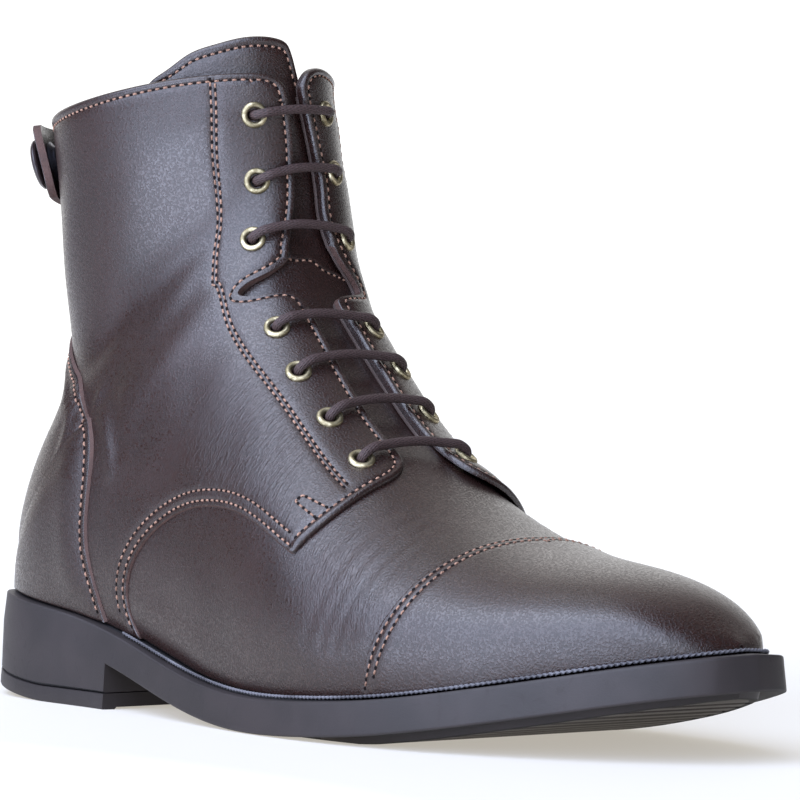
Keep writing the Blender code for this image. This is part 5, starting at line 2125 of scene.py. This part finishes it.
        self.turned(cap, steps=56)
        piece = self.placed("stud_cap", place, self.looks.stud)
        made.append(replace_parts(piece, "snap_cap"))
        base = 0.2 - self.strap_lift
        wide = self.socket_radius
        ring = [(0.0, -0.2), (wide - 0.4, -0.2), (wide + 0.6, -0.5), (wide + 0.8, -0.9), (wide + 0.3, -1.3),
                (wide - 0.3, -1.5), (wide - 0.6, base + 0.4), (wide - 1.0, base), (0.0, base)]
        self.turned(ring, steps=48)
        piece = self.placed("stud_socket", place, self.looks.steel)
        made.append(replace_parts(piece, "snap_socket"))
        return made

    def stud_place(self) -> Matrix:
        """Axes of the stud on the inner face of the lifted strap, in metres.

        Returns:
            Matrix of the axes.
        """
        steps = np.array([(0.0, 0.0), (2.0, 0.0), (-2.0, 0.0), (0.0, 0.01), (0.0, -0.01)])
        spots = steps + np.array(SNAP_MARK)
        face = self.last.lasted(spots, self.strap_rise(spots))
        along = unit(face[1] - face[2])
        out = unit(np.cross(face[3] - face[4], along))
        if out @ self.last.normals(spots[:1, 0], spots[:1, 1])[0] < 0:
            out = -out
        axes = np.stack((np.cross(along, out), along, out, (face[0] - PLAN_CENTRE) * MM), 1)
        return Matrix([*axes.tolist(), [0, 0, 0, 1]])


@dataclass(frozen=True)
class Lamp:
    """A square soft lamp; place and size are in metres, power in watts."""

    name: str
    place: tuple[float, float, float]
    size: float
    power: float
    colour: Colour


@dataclass(frozen=True)
class Glow:
    """A bright part of the surroundings, with the cosines between which it fades in."""

    toward: tuple[float, float, float]
    fade: tuple[float, float]
    light: Colour


@dataclass
class Studio:
    """Pale floor, soft light and the camera at the photograph's angle. Places are in metres."""

    camera_place: tuple[float, float, float] = (0.7596, -0.6238, 0.0825)
    azimuth_deg: float = 50.25
    elevation_deg: float = -0.23
    roll_deg: float = 0.83
    lens: float = 164.5
    shift_x: float = 0.0315
    clip: tuple[float, float] = (0.05, 60.0)
    floor_size: float = 24.0
    ambient: Colour = (0.07, 0.07, 0.07)
    backdrop_fade: tuple[float, float] = (0.60, 0.95)
    backdrop: Colour = (1.2, 1.2, 1.2)
    window: Glow = Glow((0.150, -0.840, 0.520), (0.54, 0.82), (3.9, 4.5, 5.9))
    lamp_aim: tuple[float, float, float] = (-0.01, 0.0, 0.075)
    lamps: tuple[Lamp, ...] = (Lamp("overhead", (-0.40, -0.70, 1.9), 2.0, 18.0, (0.88, 0.92, 1.0)),
                               Lamp("back fill", (-0.85, 0.98, 1.7), 2.0, 5.5, (1.0, 0.97, 0.94)),
                               Lamp("front fill", (1.95, -0.92, 0.50), 0.9, 7.0, (0.78, 0.86, 1.0)))

    def build(self) -> None:
        """Floor, sky, lamps and camera."""
        self.build_floor()
        self.build_sky()
        for lamp in self.lamps:
            self.hang(lamp)
        self.build_camera()
        bpy.context.scene.view_settings.view_transform = "Standard"

    def build_floor(self) -> None:
        """A wide plain floor at the sole."""
        bpy.ops.object.select_all(action="DESELECT")
        bpy.ops.mesh.primitive_plane_add(size=self.floor_size, location=(0, 0, 0))
        floor = bpy.context.object
        floor.name = "floor"
        floor.data.materials.append(FloorFinish("floor").make())

    def build_sky(self) -> None:
        """White surroundings behind the boot, a broad cool window in front of it, dim elsewhere."""
        g = Graph("studio", surroundings=True)
        a = math.radians(self.azimuth_deg)
        backdrop = Glow((-math.sin(a), math.cos(a), 0.0), self.backdrop_fade, self.backdrop)
        direction = g.node("ShaderNodeTexCoord", output="Generated")
        light: Shade | Colour = self.ambient
        for glow in (backdrop, self.window):
            share = g.measure("DOT_PRODUCT", direction, glow.toward).spread(*glow.fade)
            light = g.node("ShaderNodeVectorMath", {"operation": "MULTIPLY_ADD"},
                           {0: glow.light, 1: share, 2: light})
        bpy.context.scene.world = g.done(Color=light, Strength=1.0)

    def hang(self, lamp: Lamp) -> None:
        """Place a lamp and point it at the boot.

        Args:
            lamp: its place, size and light.
        """
        place = Vector(lamp.place)
        bpy.ops.object.light_add(type="AREA", location=place)
        made = bpy.context.object
        made.name = lamp.name
        made.data.shape = "RECTANGLE"
        made.data.size = made.data.size_y = lamp.size
        made.data.energy = lamp.power
        made.data.color = lamp.colour
        made.rotation_euler = (Vector(self.lamp_aim) - place).to_track_quat("-Z", "Y").to_euler()

    def build_camera(self) -> None:
        """The camera, turned and rolled as the photograph is."""
        a, e, roll = (math.radians(v) for v in (self.azimuth_deg, self.elevation_deg, self.roll_deg))
        back = Vector((math.sin(a) * math.cos(e), -math.cos(a) * math.cos(e), math.sin(e)))
        level = Vector((math.cos(a), math.sin(a), 0.0))
        upright = back.cross(level)
        right = level * math.cos(roll) + upright * math.sin(roll)
        up = upright * math.cos(roll) - level * math.sin(roll)
        camera = bpy.data.objects.new("camera", bpy.data.cameras.new("camera"))
        bpy.context.scene.collection.objects.link(camera)
        camera.matrix_world = Matrix((right, up, back)).transposed().to_4x4()
        camera.location = self.camera_place
        camera.data.lens = self.lens
        camera.data.shift_x = self.shift_x
        camera.data.clip_start, camera.data.clip_end = self.clip
        bpy.context.scene.camera = camera


def main() -> None:
    """Build the boot piece by piece, then the studio."""
    logging.basicConfig(level=logging.INFO, format="%(message)s")
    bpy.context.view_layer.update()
    last = Last()
    looks = Finishes()
    uppers = Uppers(last, looks)
    for assembly in (SoleUnit(last, looks), uppers, Fittings(last, looks, uppers.facing_lift)):
        for piece in assembly.build():
            LOG.info("%s: %d faces", piece.name, len(piece.data.polygons))
    Studio().build()
    bpy.context.view_layer.update()


if __name__ == "__main__":
    main()
